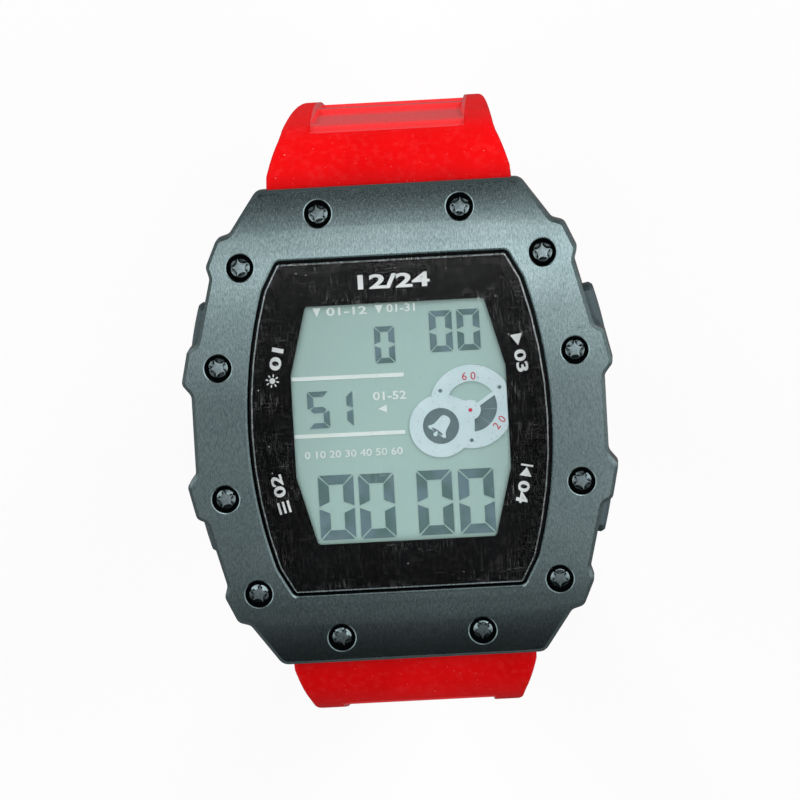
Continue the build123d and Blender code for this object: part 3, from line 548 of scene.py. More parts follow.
def washer(name, middle, inner, outer, top, limit):
    """A flat ring as a tyre of four rings, its outer edge cut off square at a limit to the right."""
    inside, outside = circle(middle, inner, 120), circle(middle, outer, 120)
    ahead_of_middle = outside[:, :1] - middle[0]
    share = np.minimum((limit - middle[0]) / np.maximum(ahead_of_middle, 1e-6), 1.0)
    outside = middle + (outside - middle) * np.where(ahead_of_middle > 0, share, 1.0)
    walls = [(inside, plate_low), (outside, plate_low), (outside, top), (inside, top)]
    rings = [np.hstack([wall, np.full((len(wall), 1), level)]) for wall, level in walls]
    return loft(name, [rings], ornament_white, "case", closed=True)


ornament_white = Finish("ornament_white", specular_ior_level=0.3)
pale_drift = ornament_white.noise(0.5, 2.0)
specks = ornament_white.flecks(3.2, 0.2)
pale = ornament_white.mix(pale_drift, "BCD6DC", "D3E7EB")
ornament_white.feed(base_color=ornament_white.mix(specks * 0.6, pale, "8EA3A8"))
ornament_white.feed(roughness=0.45 + pale_drift * 0.15)
ornament_white.relief(specks, -0.01)

big_ring = np.array((7.27, 1.17))
hub = np.array((7.16, 0.83))
small_ring = np.array((4.06, -0.66))
plate_low, plate_high = display_top + 0.04, display_top + 0.16
ornament_edge = window_half_width - 0.02
washer("ornament_ring", big_ring, 2.6, 4.27, plate_high, ornament_edge)
washer("ornament_small_ring", small_ring, 1.82, 3.21, plate_high + 0.004, ornament_edge)


def arm(start, angle, length, half_width):
    """A straight arm in plan, from a start outwards at an angle."""
    along = np.array((math.cos(math.radians(angle)), math.sin(math.radians(angle))))
    side = half_width * np.array((-along[1], along[0]))
    return [start - side, start + along * length - side, start + along * length + side, start + side]


laid("ornament_arm", [arm(hub, 33.0, 3.0, 0.2)], plate_low, plate_high - 0.004, ornament_white)
web_reach, hub_radius = 2.7, 1.03
web = np.vstack([[hub + (0.37, 0.0), hub + (-0.35, 0.9)], circle(big_ring, web_reach, 40, 150.0, 274.0)])
laid("ornament_web", [web], plate_low, plate_high - 0.006, ornament_white)
laid("ornament_hub", [circle(hub, hub_radius)], plate_low, plate_high + 0.008, ornament_white)

# Painted shade: this dark grey fills the big ring's opening, the small ring's disc, the dots and the
# bell's mouth where shade falls, and its light radial lines are painted highlights on facets.
shade_grey = Finish("shade_grey", specular_ior_level=0.3)
from_hub = shade_grey.vector("SUBTRACT", shade_grey.place, (*hub, 0.0))
shade_x, shade_y = shade_grey.axes(from_hub)[:2]
bearing = shade_y.math("ARCTAN2", shade_x)
painted_facet_highlights = ((bearing * 1.5).math("PINGPONG", 0.5) < 0.02) * (shade_x > 0.3)
shade_drift = shade_grey.noise(0.8, 2.0)
shade_tone = shade_grey.mix(shade_drift, "53686D", "6F868A")
shade_grey.feed(base_color=shade_grey.mix(painted_facet_highlights * 0.7, shade_tone, "98ACAE"))
shade_grey.feed(roughness=0.42 + shade_drift * 0.2)
shade_grey.relief(painted_facet_highlights, 0.01)
fan = np.vstack([[hub], circle(big_ring, web_reach, 40, -96.0, 32.0)])
laid("ornament_shade", [fan], plate_low - 0.02, plate_low + 0.02, shade_grey)
laid("ornament_dark_disc", [circle(small_ring, 1.84)], plate_high - 0.02, plate_high + 0.012, shade_grey)
holes = [circle(spot, 0.2, 24) for spot in ((4.17, 2.94), (10.21, 3.01), (7.11, -2.28))]
laid("ornament_dots", holes, plate_high, plate_high + 0.012, shade_grey)

print_red = worked("print_red", "B0253F", "CE3A55", 6.0, (0.4, 0.55), depth=0.002)
laid("ornament_pip", [circle((7.13, 0.81), 0.2, 32)], plate_high, plate_high + 0.03, print_red)
lettering("ornament_sixty", "6 0", 0.8, (7.15, 4.3), 0, plate_high, print_red)
lettering("ornament_twenty", "2 0", 0.8, (10.0, -0.6), 50, plate_high, print_red)

# The alarm sign: a plain bell with its clapper, cut from the same plate and tilted in the middle of
# the small ring.


def tilted(points, middle, turn):
    """A flat outline turned about nought and then moved to a middle."""
    angle = math.radians(turn)
    c, s = math.cos(angle), math.sin(angle)
    return np.asarray(points) @ np.array([[c, s], [-s, c]]) + middle


bell_side = [(0.0, 1.18), (0.25, 1.14), (0.42, 1.05), (0.53, 0.9), (0.6, 0.6), (0.64, 0.2), (0.72, -0.2)]
bell_side += [(0.86, -0.45), (1.0, -0.58), (1.08, -0.72), (1.02, -0.84), (0.84, -0.88), (0.6, -0.84)]
bell = np.vstack([bell_side, (np.array(bell_side) * (-1, 1))[:0:-1]])
mouth = circle((0.0, 0.0), 1.0, 40) * (0.66, 0.15) + (0.0, -0.68)
clapper = np.vstack([[(-0.09, -0.66), (0.09, -0.66)], circle((0.0, -1.02), 0.21, 28, 62.0, -242.0)])
bell_low, bell_high, bell_turn = plate_high + 0.01, plate_high + 0.03, -37
bell_parts = [
    ("bell", bell, 0.0, ornament_white),
    ("bell_mouth", mouth, 0.006, shade_grey),
    ("bell_clapper", clapper, 0.012, ornament_white),
]
for name, outline, over, finish in bell_parts:
    laid(name, [tilted(outline, small_ring, bell_turn)], bell_low, bell_high + over, finish)

# The mask: a black plate round the display window, screen-printed in white. Each pusher has its
# number and a sign: a lamp, a page of lines, an arrow to go and an arrow back to a bar.

mask_black = Finish("mask_black", specular_ior_level=0.05)
mask_drift = mask_black.between(mask_black.noise(0.25, 3.0), 0.35, 0.7)
mask_dust = mask_black.flecks(1.1, 0.07)
mask_colour = mask_black.mix(mask_drift, "020304", "06090A")
mask_black.feed(base_color=mask_black.mix(mask_dust * 0.22, mask_colour, "5A6765"))
mask_black.feed(roughness=0.35 + mask_drift * 0.2)
mask_black.relief(mask_black.noise(2.0), 0.0006)
dress(mask_black, "dial_mask")

mask_ink = display_top + 0.255
mask_white = worked("mask_white", "DDE5E6", "F6FAFA", 6.0, (0.4, 0.55), depth=0.002)
lettering("mask_number", "12/24", 1.5, (0.07, 14.43), 0, mask_ink, mask_white, 0.03, 7.3)


def box_in_plan(left, bottom, right, top):
    """The corners of an upright rectangle."""
    return [(left, bottom), (right, bottom), (right, top), (left, top)]


rays = [tilted(box_in_plan(0.42, -0.07, 0.68, 0.07), 0, 45 * step) for step in range(8)]
page = [box_in_plan(-0.62, y, 0.62, y + 0.24) for y in (-0.62, -0.12, 0.38)]
go = [[(-0.5, -0.62), (0.65, 0.0), (-0.5, 0.62)]]
back = [[(0.6, -0.62), (-0.35, 0.0), (0.6, 0.62)]]
signs = [
    ((-12.5, 6.2), 76.8, rays, []),
    ((-12.66, -6.8), 102.7, page, []),
    ((12.45, 6.45), -81.7, [], go),
    ((12.2, -7.0), -102.0, [box_in_plan(-0.62, -0.62, -0.42, 0.62)], back),
]
marks, wedges, icons = [], [], []
for number, (middle, turn, squares, arrows) in enumerate(signs, 1):
    way = np.array([math.cos(math.radians(turn)), math.sin(math.radians(turn))])
    icons.append(middle - 1.4 * way)
    marks += [tilted(square, icons[-1], turn) for square in squares]
    wedges += [tilted(arrow, icons[-1], turn) for arrow in arrows]
    name, text = "mask_number_%d" % number, "0%d" % number
    lettering(name, text, 1.2, middle + 0.85 * way, turn, mask_ink, mask_white, 0.03, 2.3)
lamp_disc = [circle(icons[0], 0.3, 40)]
for name, outlines in (("mask_signs", marks), ("mask_lamp", lamp_disc), ("mask_wedges", wedges)):
    laid(name, outlines, mask_ink, mask_ink + ink_thickness, mask_white)

# The crystal: mineral glass ground to the curve of the crown, with a polished bevel all round. It
# drops on a thin gasket, and the bezel's inner edge stands a hair away from it.

crown_top = 12.6
crown_curve = 106.84


def crown(y, sunk=0.0):
    """Height of the crown, or of a skin sunk under it: a cylinder that lies across the watch."""
    return crown_top - crown_curve + np.sqrt((crown_curve - sunk) ** 2 - y**2)


def rounded(corners, radii, count):
    """A closed line through corners, each rounded to its radius, at even steps, and its normals.

    The arc at a corner starts the radius times the tangent of half the turn before it, and its
    middle stands one radius in from the edge. The line is read at equal distances along itself.
    """
    corners = np.asarray(corners, dtype=float)
    radii = np.asarray(radii, dtype=float)[:, None]
    forward = np.roll(corners, -1, axis=0) - corners
    forward /= np.linalg.norm(forward, axis=1, keepdims=True)
    incoming = np.roll(forward, 1, axis=0)
    crossed = incoming[:, 0] * forward[:, 1] - incoming[:, 1] * forward[:, 0]
    turn = np.arctan2(crossed, (incoming * forward).sum(axis=1))[:, None]
    start = corners - incoming * radii * np.tan(abs(turn) / 2)
    left = np.stack([-incoming[:, 1], incoming[:, 0]], axis=-1) * np.sign(turn)
    middle = start + left * radii
    share = np.linspace(0, 1, 12)[None, :]
    angle = turn * share
    spoke = -left * radii
    arc_x = middle[:, :1] + spoke[:, :1] * np.cos(angle) - spoke[:, 1:] * np.sin(angle)
    arc_y = middle[:, 1:] + spoke[:, :1] * np.sin(angle) + spoke[:, 1:] * np.cos(angle)
    line = np.stack([arc_x.ravel(), arc_y.ravel()], axis=-1)
    loop = np.vstack([line, line[:1]])
    travelled = np.concatenate([[0], np.cumsum(np.linalg.norm(np.diff(loop, axis=0), axis=1))])
    stops = np.linspace(0, travelled[-1], count, endpoint=False)
    even = np.stack([np.interp(stops, travelled, loop[:, i]) for i in (0, 1)], axis=-1)
    tangent = np.roll(even, -1, axis=0) - np.roll(even, 1, axis=0)
    tangent /= np.linalg.norm(tangent, axis=1, keepdims=True)
    return even, np.stack([tangent[:, 1], -tangent[:, 0]], axis=-1)


opening_half_width, opening_half_length, opening_half_end = 15.42, 17.15, 11.75
bow_radius, bow_end = 49.28, 16.868
glass_points = 480


def glass_ring(inset, share, sunk):
    """A ring of the crystal: the bezel's opening drawn in by an inset, then to the middle by a share.

    The opening has flat ends, short shoulders and bowed sides.
    """
    bow = np.radians(np.linspace(bow_end, -bow_end, 9))
    side_x = opening_half_width - bow_radius + bow_radius * np.cos(bow)
    side = np.stack([side_x, bow_radius * np.sin(bow)], axis=-1)
    shoulder = np.array([(opening_half_end, opening_half_length)])
    right = np.vstack([shoulder, side, shoulder * (1, -1)])
    radii = np.concatenate([[0.7, 3.0], np.full(7, 8.0), [3.0, 0.7]] * 2)
    line, normal = rounded(np.vstack([right, -right])[::-1], radii, glass_points)
    flat = (line - normal * inset) * share
    return np.hstack([flat, crown(flat[:, 1:], sunk)])


seat_gap, bevel, glass_thickness = 0.36, 0.13, 1.8
shares = np.linspace(0.02, 1.0, 14)
glass_rings = [glass_ring(seat_gap, share, glass_thickness) for share in shares]
glass_rings += [glass_ring(seat_gap, 1.0, bevel), glass_ring(seat_gap + bevel, 1.0, 0.0)]
glass_rings += [glass_ring(seat_gap + bevel + 0.02, share, 0.0) for share in shares[::-1]]
ring_masks = {
    "bevel": [0.0] * 14 + [1.0] * 2 + [0.0] * 14,
    "outer": [0.0] * 14 + [1.0] * 16,
    "rim": [0.0] * 15 + [1.0] * 2 + [0.0] * 13,
}

crystal_glass = Finish("crystal_glass", metallic=1.0, base_color=(1.0, 1.0, 1.0, 1.0))
fresnel = crystal_glass.node("ShaderNodeFresnel", (), {"IOR": 1.5})
edge, outer, rim = [
    crystal_glass.node("ShaderNodeAttribute", {"attribute_name": layer}, out="Fac")
    for layer in ring_masks
]
scratch_x = crystal_glass.between(crystal_glass.noise(2.2, 1.0, (5.0, 0.35, 1.0), 0.6), 0.59, 0.66)
scratch_y = crystal_glass.between(crystal_glass.noise(1.7, 1.0, (0.5, 4.0, 1.0), 0.8), 0.63, 0.7)
smudge = crystal_glass.between(crystal_glass.noise(0.16, 4.0, (1.0, 1.6, 1.0)), 0.5, 0.75)
grime = crystal_glass.between(crystal_glass.noise(1.9, 5.0), 0.5, 0.7) ** 1.5
glass_dust = crystal_glass.flecks(0.9, 0.06, seed=4.0)
marks_on_glass = (scratch_x + scratch_y).clamped() * (smudge * 0.8 + 0.2)
haze = rim * grime * 0.05 + marks_on_glass * 0.13 + glass_dust * 0.32
crystal_glass.feed(metallic=(1.0 - marks_on_glass - glass_dust).clamped())
crystal_glass.feed(alpha=((fresnel * 0.2 + haze + edge * 0.55) * outer).clamped())
dulled = rim * grime * 0.4 + marks_on_glass * 0.3 + glass_dust * 0.5
crystal_glass.feed(roughness=(0.03 + edge * 0.2 + dulled).clamped())
crystal = loft("crystal_dome", [glass_rings], crystal_glass, "case")
for layer, worth in ring_masks.items():
    by_point = np.repeat(worth, glass_points)
    crystal.data.attributes.new(layer, "FLOAT", "POINT").data.foreach_set("value", by_point)
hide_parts("crystal")
border_steps = ((1.0, 1.77), (0.93, 1.77), (0.93, 1.73), (1.0, 1.73))
border = [glass_ring(seat_gap, share, sunk) for share, sunk in border_steps]
loft("crystal_border", [border], mask_black, "case", closed=True)
dress(seal_rubber, "crystal_gasket")

# The bezel: one pressed and milled alloy ring, domed across the wrist, with stepped bosses at its
# corners and sides. It is brushed upright, blasted fine and plated a grey-teal, and its screw
# recesses are painted near-black as shade and dark reflection.

bezel_finish = Finish("bezel_finish", metallic=1.0)
bezel_x, bezel_y = bezel_finish.axes(bezel_finish.place)[:2]
folded = bezel_finish.node("ShaderNodeCombineXYZ", (), {0: abs(bezel_x), 1: abs(bezel_y)})
screw_places = [(15.35, 16.7), (18.1, 6.7), (7.2, 21.7)]
apart = [bezel_finish.vector("DISTANCE", folded, (*spot, 0.0), out="Value") for spot in screw_places]
from_screws = apart[0].math("MINIMUM", apart[1]).math("MINIMUM", apart[2])
recess_radius, lip_radius = 1.4, 1.5
# Painted shade: inside each screw recess the colour goes near-black for the shade and dark reflection
# there.
painted_recess_shade = from_screws < recess_radius
recess_lip = bezel_finish.between(from_screws, recess_radius - 0.02, lip_radius)
brush = bezel_finish.noise(6.0, 3.0, (1.5, 0.42, 1.0))
sparkle = bezel_finish.noise(14.0, 2.0)
cloud = bezel_finish.noise(0.16, 3.0)
grain = ((brush - 0.5) * 1.5 + (sparkle - 0.5) * 1.1 + (cloud - 0.5) * 0.5 + 0.5).clamped()
plating = bezel_finish.mix(grain, "6A7F82", "A6BABC")
bezel_finish.feed(base_color=bezel_finish.mix(painted_recess_shade, plating, "07090A"))
bezel_finish.feed(roughness=(0.12 + sparkle * 0.1 + painted_recess_shade * 0.2).clamped())
bezel_finish.relief(brush * 0.0012 + sparkle * 0.0012 + recess_lip * 0.028, 1.0)
dress(bezel_finish, "bezel")

# The twelve bezel screws: turned steel heads with five scooped petals round a star-shaped flat,
# for a driver that nobody has at home. The eight long ones go down into the housing.


def star_radius(angle, tip, waist):
    """How far the star reaches at an angle: five tips, with a round scoop between each two.

    A scoop's circle has its middle on the line between two tips, at the distance where it passes
    through both of them and through the waist.
    """
    half = math.pi / 5
    away = (angle % (2 * half)) - half
    middle = (tip**2 - waist**2) / (2 * (tip * math.cos(half) - waist))
    scoop = middle - waist
    return middle * np.cos(away) - np.sqrt(scoop**2 - (middle * np.sin(away)) ** 2)


recess_depth = 0.6
head_radius, shank_radius, star_tip, star_waist = 1.0, 0.6, 0.93, 0.5


def screw_rings(length):
    """Rings of one screw from the end of its shank to the flat of its star."""
    angle = np.linspace(0, 2 * math.pi, 80, endpoint=False)
    star = star_radius(angle, star_tip, star_waist)
    shoulder = head_radius - 0.025
    petal = star * 0.45 + shoulder * 0.55
    reach = [0.3, shank_radius, shank_radius, head_radius, head_radius]
    reach += [shoulder, petal, star + 0.03, star, 0.3]
    level = [-length, -length + 0.3, 0.0, 0.0, 0.06, 0.1, 0.17, 0.36, 0.44, 0.45]
    ways = np.stack([np.cos(angle), np.sin(angle), 0 * angle], axis=-1)
    return np.stack([ways * np.c_[r + 0 * angle] + (0, 0, h) for r, h in zip(reach, level)])


def screws(places, length, turns):
    """Copies of a screw in their recesses, each turned as it happened to come tight."""
    rings = screw_rings(length)
    turns = np.radians(turns)[:, None, None]
    x, y = np.moveaxis(rings[..., :2], -1, 0)
    places = np.asarray(places)
    seated_x = x * np.cos(turns) - y * np.sin(turns) + places[:, 0, None, None]
    seated_y = x * np.sin(turns) + y * np.cos(turns) + places[:, 1, None, None]
    seated_z = rings[..., 2] + crown(seated_y) - recess_depth
    return np.stack([seated_x, seated_y, seated_z], axis=-1)


screw_steel = Finish("screw_steel", metallic=1.0)
turned_marks = screw_steel.noise(9.0, 3.0)
screw_steel.feed(base_color=screw_steel.mix(turned_marks, "82959A", "A3B4B7"))
screw_steel.feed(roughness=0.22 + turned_marks * 0.1)
screw_steel.relief(turned_marks, 0.0006)

mirrored = [(i * x, j * y) for x, y in screw_places for i in (1, -1) for j in (1, -1)]
long_stacks = screws(mirrored[:8], 5.0, [20, 52, 33, 7, 18, 64, 41, 29])
long_screws = loft("long_star_screws", long_stacks, screw_steel, "case", smooth=28.0)
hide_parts("bezel_screws")
short_stacks = screws(mirrored[8:], 1.6, [12, 47, 30, 66])
short_screws = loft("short_star_screws", short_stacks, screw_steel, "case", smooth=28.0)
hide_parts("end_screws")

# The case back: a stamped stainless plate, brushed in circles, held by four slotted screws and
# left without any words.

back_steel = Finish("back_steel", metallic=1.0)
circles = back_steel.turning((0.0, 0.0, 0.0), 12.0, 4.0)
back_cloud = back_steel.noise(0.2, 3.0)
stainless = back_steel.mix(circles * 0.6 + back_cloud * 0.4, "878D90", "C4C9CB")
back_steel.feed(base_color=stainless)
back_steel.feed(roughness=0.22 + circles * 0.24)
back_steel.relief(circles, 0.006)
dress(back_steel, "case_back")
dress(screw_steel, "case_back_screws")

# The strap: two halves moulded in matt red silicone round spring bars. Each is thick at its knuckle,
# bends square over the wrist and has a sunken panel with three ribs down its outside.


def arc(centre, radius, start, end, count):
    """Places (y, z) on an arc of the side view, at angles from straight up that lean outwards."""
    angle = np.radians(np.linspace(start, end, count))
    return np.stack([np.sin(angle), np.cos(angle)], axis=-1) * radius + centre


def run(start, end, count):
    """Places (y, z) on a straight stretch of the side view."""
    share = np.linspace(0, 1, count)[:, None]
    return np.asarray(start) * (1 - share) + np.asarray(end) * share


hinge, knuckle_radius = np.array((21.8, 4.1)), 2.9
strap_top, strap_underside, strap_thickness = 7.0, 1.2, 3.0
bend_middle, bend_radius = (23.7, 0.5), 6.5
crease_middle, crease_radius, crease_end = (24.921, -1.4), 2.6, 81.52
flank_middle, flank_radius = (-52.6226, -12.9577), 84.0
upper_outside = [
    arc(hinge, knuckle_radius, -86, 0, 14),
    run((hinge[0], strap_top), (bend_middle[0], strap_top), 6),
    arc(bend_middle, bend_radius, 0, 80, 28),
    arc(flank_middle, flank_radius, 80, 100, 40),
]
upper_inside = [
    arc(hinge, knuckle_radius, -94, -180, 14),
    run((hinge[0], strap_underside), (crease_middle[0], strap_underside), 6),
    arc(crease_middle, crease_radius, 0, crease_end, 28),
    arc(flank_middle, flank_radius - strap_thickness, crease_end, 100, 40),
]


def slope(place):
    """How far down the slanted view across the bend a place is, from the hinge."""
    return ((place[:, 0] - hinge[0]) - (place[:, 1] - hinge[1])) / math.sqrt(2)


def strap_half_width(place):
    """Half the strap's width: full at the hinge, drawn in to the shoulder and then to the tail."""
    down, half_widths = [-1.0, 0.6, 5.0, 6.2, 27.0, 29.0], [12.5, 12.42, 11.12, 10.9, 9.05, 9.0]
    return np.interp(slope(place), down, half_widths)


panel_start, panel_end, panel_depth, panel_corner = 5.8, 27.5, 0.75, 0.8
ribs, rib_width, rib_height, edge_softness = (7.8, 15.8, 23.8), 1.2, 0.45, 0.09
panel_edges = [panel_start, panel_end] + [rib + side for rib in ribs for side in (0.0, rib_width)]
near_edge = edge_softness * np.arange(-2, 3)
near_corner = np.array([0.3, 0.5, panel_corner])
feature_stops = np.concatenate(
    [edge + near_edge for edge in panel_edges]
    + [panel_start + near_corner, panel_end - near_corner, [0.6, 5.0, 6.2]]
)


def panel_sink(down):
    """Depth of the panel at a distance down the strap: sunken, less the three ribs that stand in it."""
    soft = edge_softness
    sink = panel_depth * np.interp(down, [panel_start - soft, panel_start + soft], [0, 1])
    sink *= np.interp(down, [panel_end - soft, panel_end + soft], [1, 0])
    for rib in ribs:
        ends = [rib - 2 * soft, rib + soft, rib + rib_width - soft, rib + rib_width + 2 * soft]
        sink -= rib_height * np.interp(down, ends, [0, 1, 1, 0])
    return sink


def panel_reach(down):
    """Half the panel's width, with its two ends rounded at the corners."""
    wide = np.interp(down, [panel_start, 12.0, panel_end], [8.15, 7.5, 7.5])
    within = np.minimum(down - panel_start, panel_end - down)
    near = np.clip(panel_corner - within, 0, panel_corner)
    return wide - panel_corner + np.sqrt(np.maximum(panel_corner**2 - near**2, 0.0))


def strap_rings(outside, inside, half_outside, half_inside, sink=None, reach=None, near_side=None):
    """Rings of the strap's section at stations along it.

    A ring runs across the outer face, round a soft edge, over the side wall and back across the inner
    face. The outer face is sunk inside the panel's reach, with a steep wall 0.16 wide.
    """
    gap = np.linalg.norm(outside - inside, axis=1)[:, None]
    soft = np.minimum(0.5, gap * 0.3)
    right, low_right = half_outside[:, None], half_inside[:, None]
    if near_side is None:
        left, low_left = -right, -low_right
        rim = np.linspace(0, 1, 4)[:-1]
        floor = reach[:, None] * np.linspace(-1, 1, 15) * 0.985
        wall = reach[:, None] + 0.08
        to_panel = (left + soft) * (1 - rim) - wall * rim
        from_panel = wall * rim[::-1] + (right - soft) * (1 - rim[::-1])
        top = np.hstack([to_panel, -wall, floor, wall, from_panel])
        drop = np.zeros_like(top)
        drop[:, 4:19] = sink[:, None]
    else:
        left = low_left = np.full_like(right, near_side)
        top = (left + soft) + (right - left - 2 * soft) * np.linspace(0, 1, 12)
        drop = np.zeros_like(top)
    quarter = np.radians(np.linspace(0, 90, 6))
    sine, cosine = soft * np.sin(quarter), soft * np.cos(quarter)
    bottom = low_left + soft + (low_right - low_left - 2 * soft) * np.linspace(1, 0, 10)[1:-1]
    stretches = [
        (top, drop),
        (right - soft + sine[:, 1:], soft - cosine[:, 1:]),
        (low_right - soft + cosine, gap - soft + sine),
        (bottom, gap + 0 * bottom),
        (low_left + soft - sine, gap - soft + cosine),
        (left + soft - cosine[:, :-1], soft - sine[:, :-1]),
    ]
    x, fall = [np.hstack(columns) for columns in zip(*stretches)]
    share = (fall / gap)[..., None]
    flat = outside[:, None, :] * (1 - share) + inside[:, None, :] * share
    return np.concatenate([x[..., None], flat], axis=-1)


def stations(outside, inside):
    """Both faces of a side view read at even steps of 0.7, and close together at the features."""
    faces = [np.vstack(outside), np.vstack(inside)]
    step = sum(np.linalg.norm(np.diff(face, axis=0), axis=1) for face in faces)
    moves = step > 1e-6
    faces = [face[np.concatenate([[True], moves])] for face in faces]
    travelled = np.concatenate([[0], np.cumsum(step[moves] / 2)])
    down = slope(faces[0])
    peak = int(np.argmax(down > 29.5))
    at_features = np.interp(feature_stops, down[:peak], travelled[:peak])
    stops = np.concatenate([np.arange(0, travelled[-1], 0.7), travelled[-1:], at_features])
    stops = np.unique(stops.round(4))
    down[peak:] = 60.0
    outside, inside = [
        np.stack([np.interp(stops, travelled, face[:, i]) for i in (0, 1)], axis=-1) for face in faces
    ]
    return outside, inside, np.interp(stops, travelled, down)


neck_half_width, shoulder_start, hollow_radius = 8.5, 23.38, 3.3


def shouldered(rings, outside):
    """Only the knuckle's width as far as the shoulders, which are hollowed out round the hinge.

    The two rings at the step keep their place in the side view, except that the points of the side
    wall are pushed out to the circle round the hinge.
    """
    before = np.argmax(outside[:, 0] > shoulder_start)
    step = rings[before].copy()
    away = step[:, 1:] - hinge
    reach = np.sqrt(np.maximum(hollow_radius**2 - away[:, 1] ** 2, 0.0))
    hollow = (np.linalg.norm(away, axis=-1) < hollow_radius) & (abs(step[:, 0]) > 7.0)
    step[:, 1] = np.where(hollow, hinge[0] + reach, step[:, 1])
    rings = np.concatenate([rings[:before], [step, step], rings[before + 1 :]])
    rings[: before + 1, :, 0] = np.clip(rings[: before + 1, :, 0], -neck_half_width, neck_half_width)
    return rings


strap_rubber = Finish("strap_rubber", specular_ior_level=0.09, coat_roughness=0.16)
rubber_x, rubber_y, rubber_z = strap_rubber.axes(strap_rubber.place)
down_strap = (abs(rubber_y) - rubber_z - hinge[0] + hinge[1]) / math.sqrt(2)
from_flank_y, from_flank_z = abs(rubber_y) - flank_middle[0], rubber_z - flank_middle[1]
on_outside = (from_flank_y * from_flank_y + from_flank_z * from_flank_z) > (flank_radius - 1.6) ** 2
in_panel = on_outside * (abs(rubber_x) < 7.9) * (down_strap > panel_start) * (down_strap < panel_end)
rubber_drift = strap_rubber.between(strap_rubber.noise(0.12, 3.0), 0.35, 0.7)
rubber_bloom = strap_rubber.between(strap_rubber.noise(1.4, 5.0), 0.5, 0.75)
rubber_dust = strap_rubber.flecks(0.75, 0.06, seed=2.0)
lint = strap_rubber.flecks(1.7, 0.08, seed=9.0)
rubber_red = strap_rubber.mix(rubber_drift, "DA0307", "E9060B")
# Painted sheen: inside the sunken panel the red is mixed half way to pink for the gloss on its floor;
# the coat given to the panel below adds real gloss there.
rubber_red = strap_rubber.mix(in_panel * 0.5, rubber_red, "FF5054")
rubber_red = strap_rubber.mix(rubber_bloom * 0.14, rubber_red, "F24A4C")
rubber_red = strap_rubber.mix((rubber_dust * 0.5 + lint * 0.3).clamped(), rubber_red, "FF9C98")
strap_rubber.feed(base_color=rubber_red)
bloomed = 0.42 + rubber_drift * 0.1 + rubber_bloom * 0.12
strap_rubber.feed(roughness=(bloomed + rubber_dust * 0.2).clamped())
strap_rubber.feed(coat_weight=in_panel * 0.8)
strap_rubber.relief(strap_rubber.noise(11.0, 2.0) * 0.007 + rubber_dust * 0.02, 1.0)


def moulded(name, stacks, body):
    """A piece of the strap's silicone: its edges are crisp only where they turn by 42 degrees."""
    return loft(name, stacks, strap_rubber, body, smooth=42.0)


curl_middle, curl_radius = (2.5266, -22.6820), 28.0
buckle_axis = np.array((10.36797, -50.69566))
along, outward = arc((0.0, 0.0), 1.0, 230, 140, 2)
prong_start, eye_start, eye_radius = -7.0, -1.166, 1.9
short_faces = []
for upper, side in ((upper_outside, 1), (upper_inside, -1)):
    curl = arc(curl_middle, curl_radius + (side - 1) * strap_thickness / 2, 100, 140, 34)
    prong_root = buckle_axis + along * prong_start + outward * side * strap_thickness / 2
    short_faces.append(upper + [curl, run(curl[-1], prong_root, 8)])
outside, inside, down = stations(*short_faces)
half_out, half_in = strap_half_width(outside), strap_half_width(inside)
short_rings = strap_rings(outside, inside, half_out, half_in, panel_sink(down), panel_reach(down))
short_rings = shouldered(short_rings, outside)
short_half = moulded("strap_short_half", [short_rings], "strap_12")
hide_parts("strap_12")

tail_half_width = 9.0
round_eye = eye_radius * np.sin(np.radians(np.linspace(-34, 88, 18)))
distance = np.concatenate([np.linspace(prong_start, eye_start, 10), round_eye])[:, None]
eye_lift = np.sqrt(np.maximum(eye_radius**2 - distance**2, 0.0))
lift = np.where(distance < eye_start, strap_thickness / 2, eye_lift)
prong_faces = [buckle_axis + distance * along + side * lift * outward for side in (1, -1)]
widths = np.full((2, len(distance)), tail_half_width)
prong = strap_rings(*prong_faces, *widths, near_side=1.55)
prongs = np.stack([prong, prong * (-1, 1, 1)])
moulded("strap_eye", prongs, "strap_12")

# The long half goes down the other side, turns under the watch at a wide corner and ends in a
# rounded tail that the watch stands on. Seven holes are punched through it.

foot_middle, foot_radius = (8.6370, -48.4957), 17.5
foot_level = foot_middle[1] - foot_radius
tail_length, tip_radius = 28.0, 9.6
tail_start, tail_tip = foot_middle[0], foot_middle[0] - tail_length
long_faces = []
for upper, radius in ((upper_outside, foot_radius), (upper_inside, foot_radius - strap_thickness)):
    foot = arc(foot_middle, radius, 100, 180, 60)
    tail = run((tail_start, foot[-1, 1]), (tail_tip + 0.02, foot[-1, 1]), 60)
    long_faces.append(upper + [run(upper[-1][-1], foot[0], 30), foot, tail])
outside, inside, down = stations(*long_faces)
on_tail = (outside[:, 1] < foot_level + 0.01) & (outside[:, 0] < tail_start)
from_tip = np.clip(outside[:, 0] - tail_tip, 0.0, tip_radius)
tip_width = np.sqrt(np.maximum(tip_radius**2 - (tip_radius - from_tip) ** 2, 0.0))
tip_width = np.clip(tip_width, 0.55, tail_half_width)
beyond = (down > 40.0) & ~on_tail
half_out, half_in = [
    np.where(on_tail, tip_width, np.where(beyond, tail_half_width, strap_half_width(face)))
    for face in (outside, inside)
]
reach = np.minimum(panel_reach(down), half_out - 0.5)
long_rings = strap_rings(outside, inside, half_out, half_in, panel_sink(down), reach)
long_rings = shouldered(long_rings, outside) * (1, -1, 1)
long_half = moulded("strap_long_half", [long_rings], "strap_6")
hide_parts("strap_6")

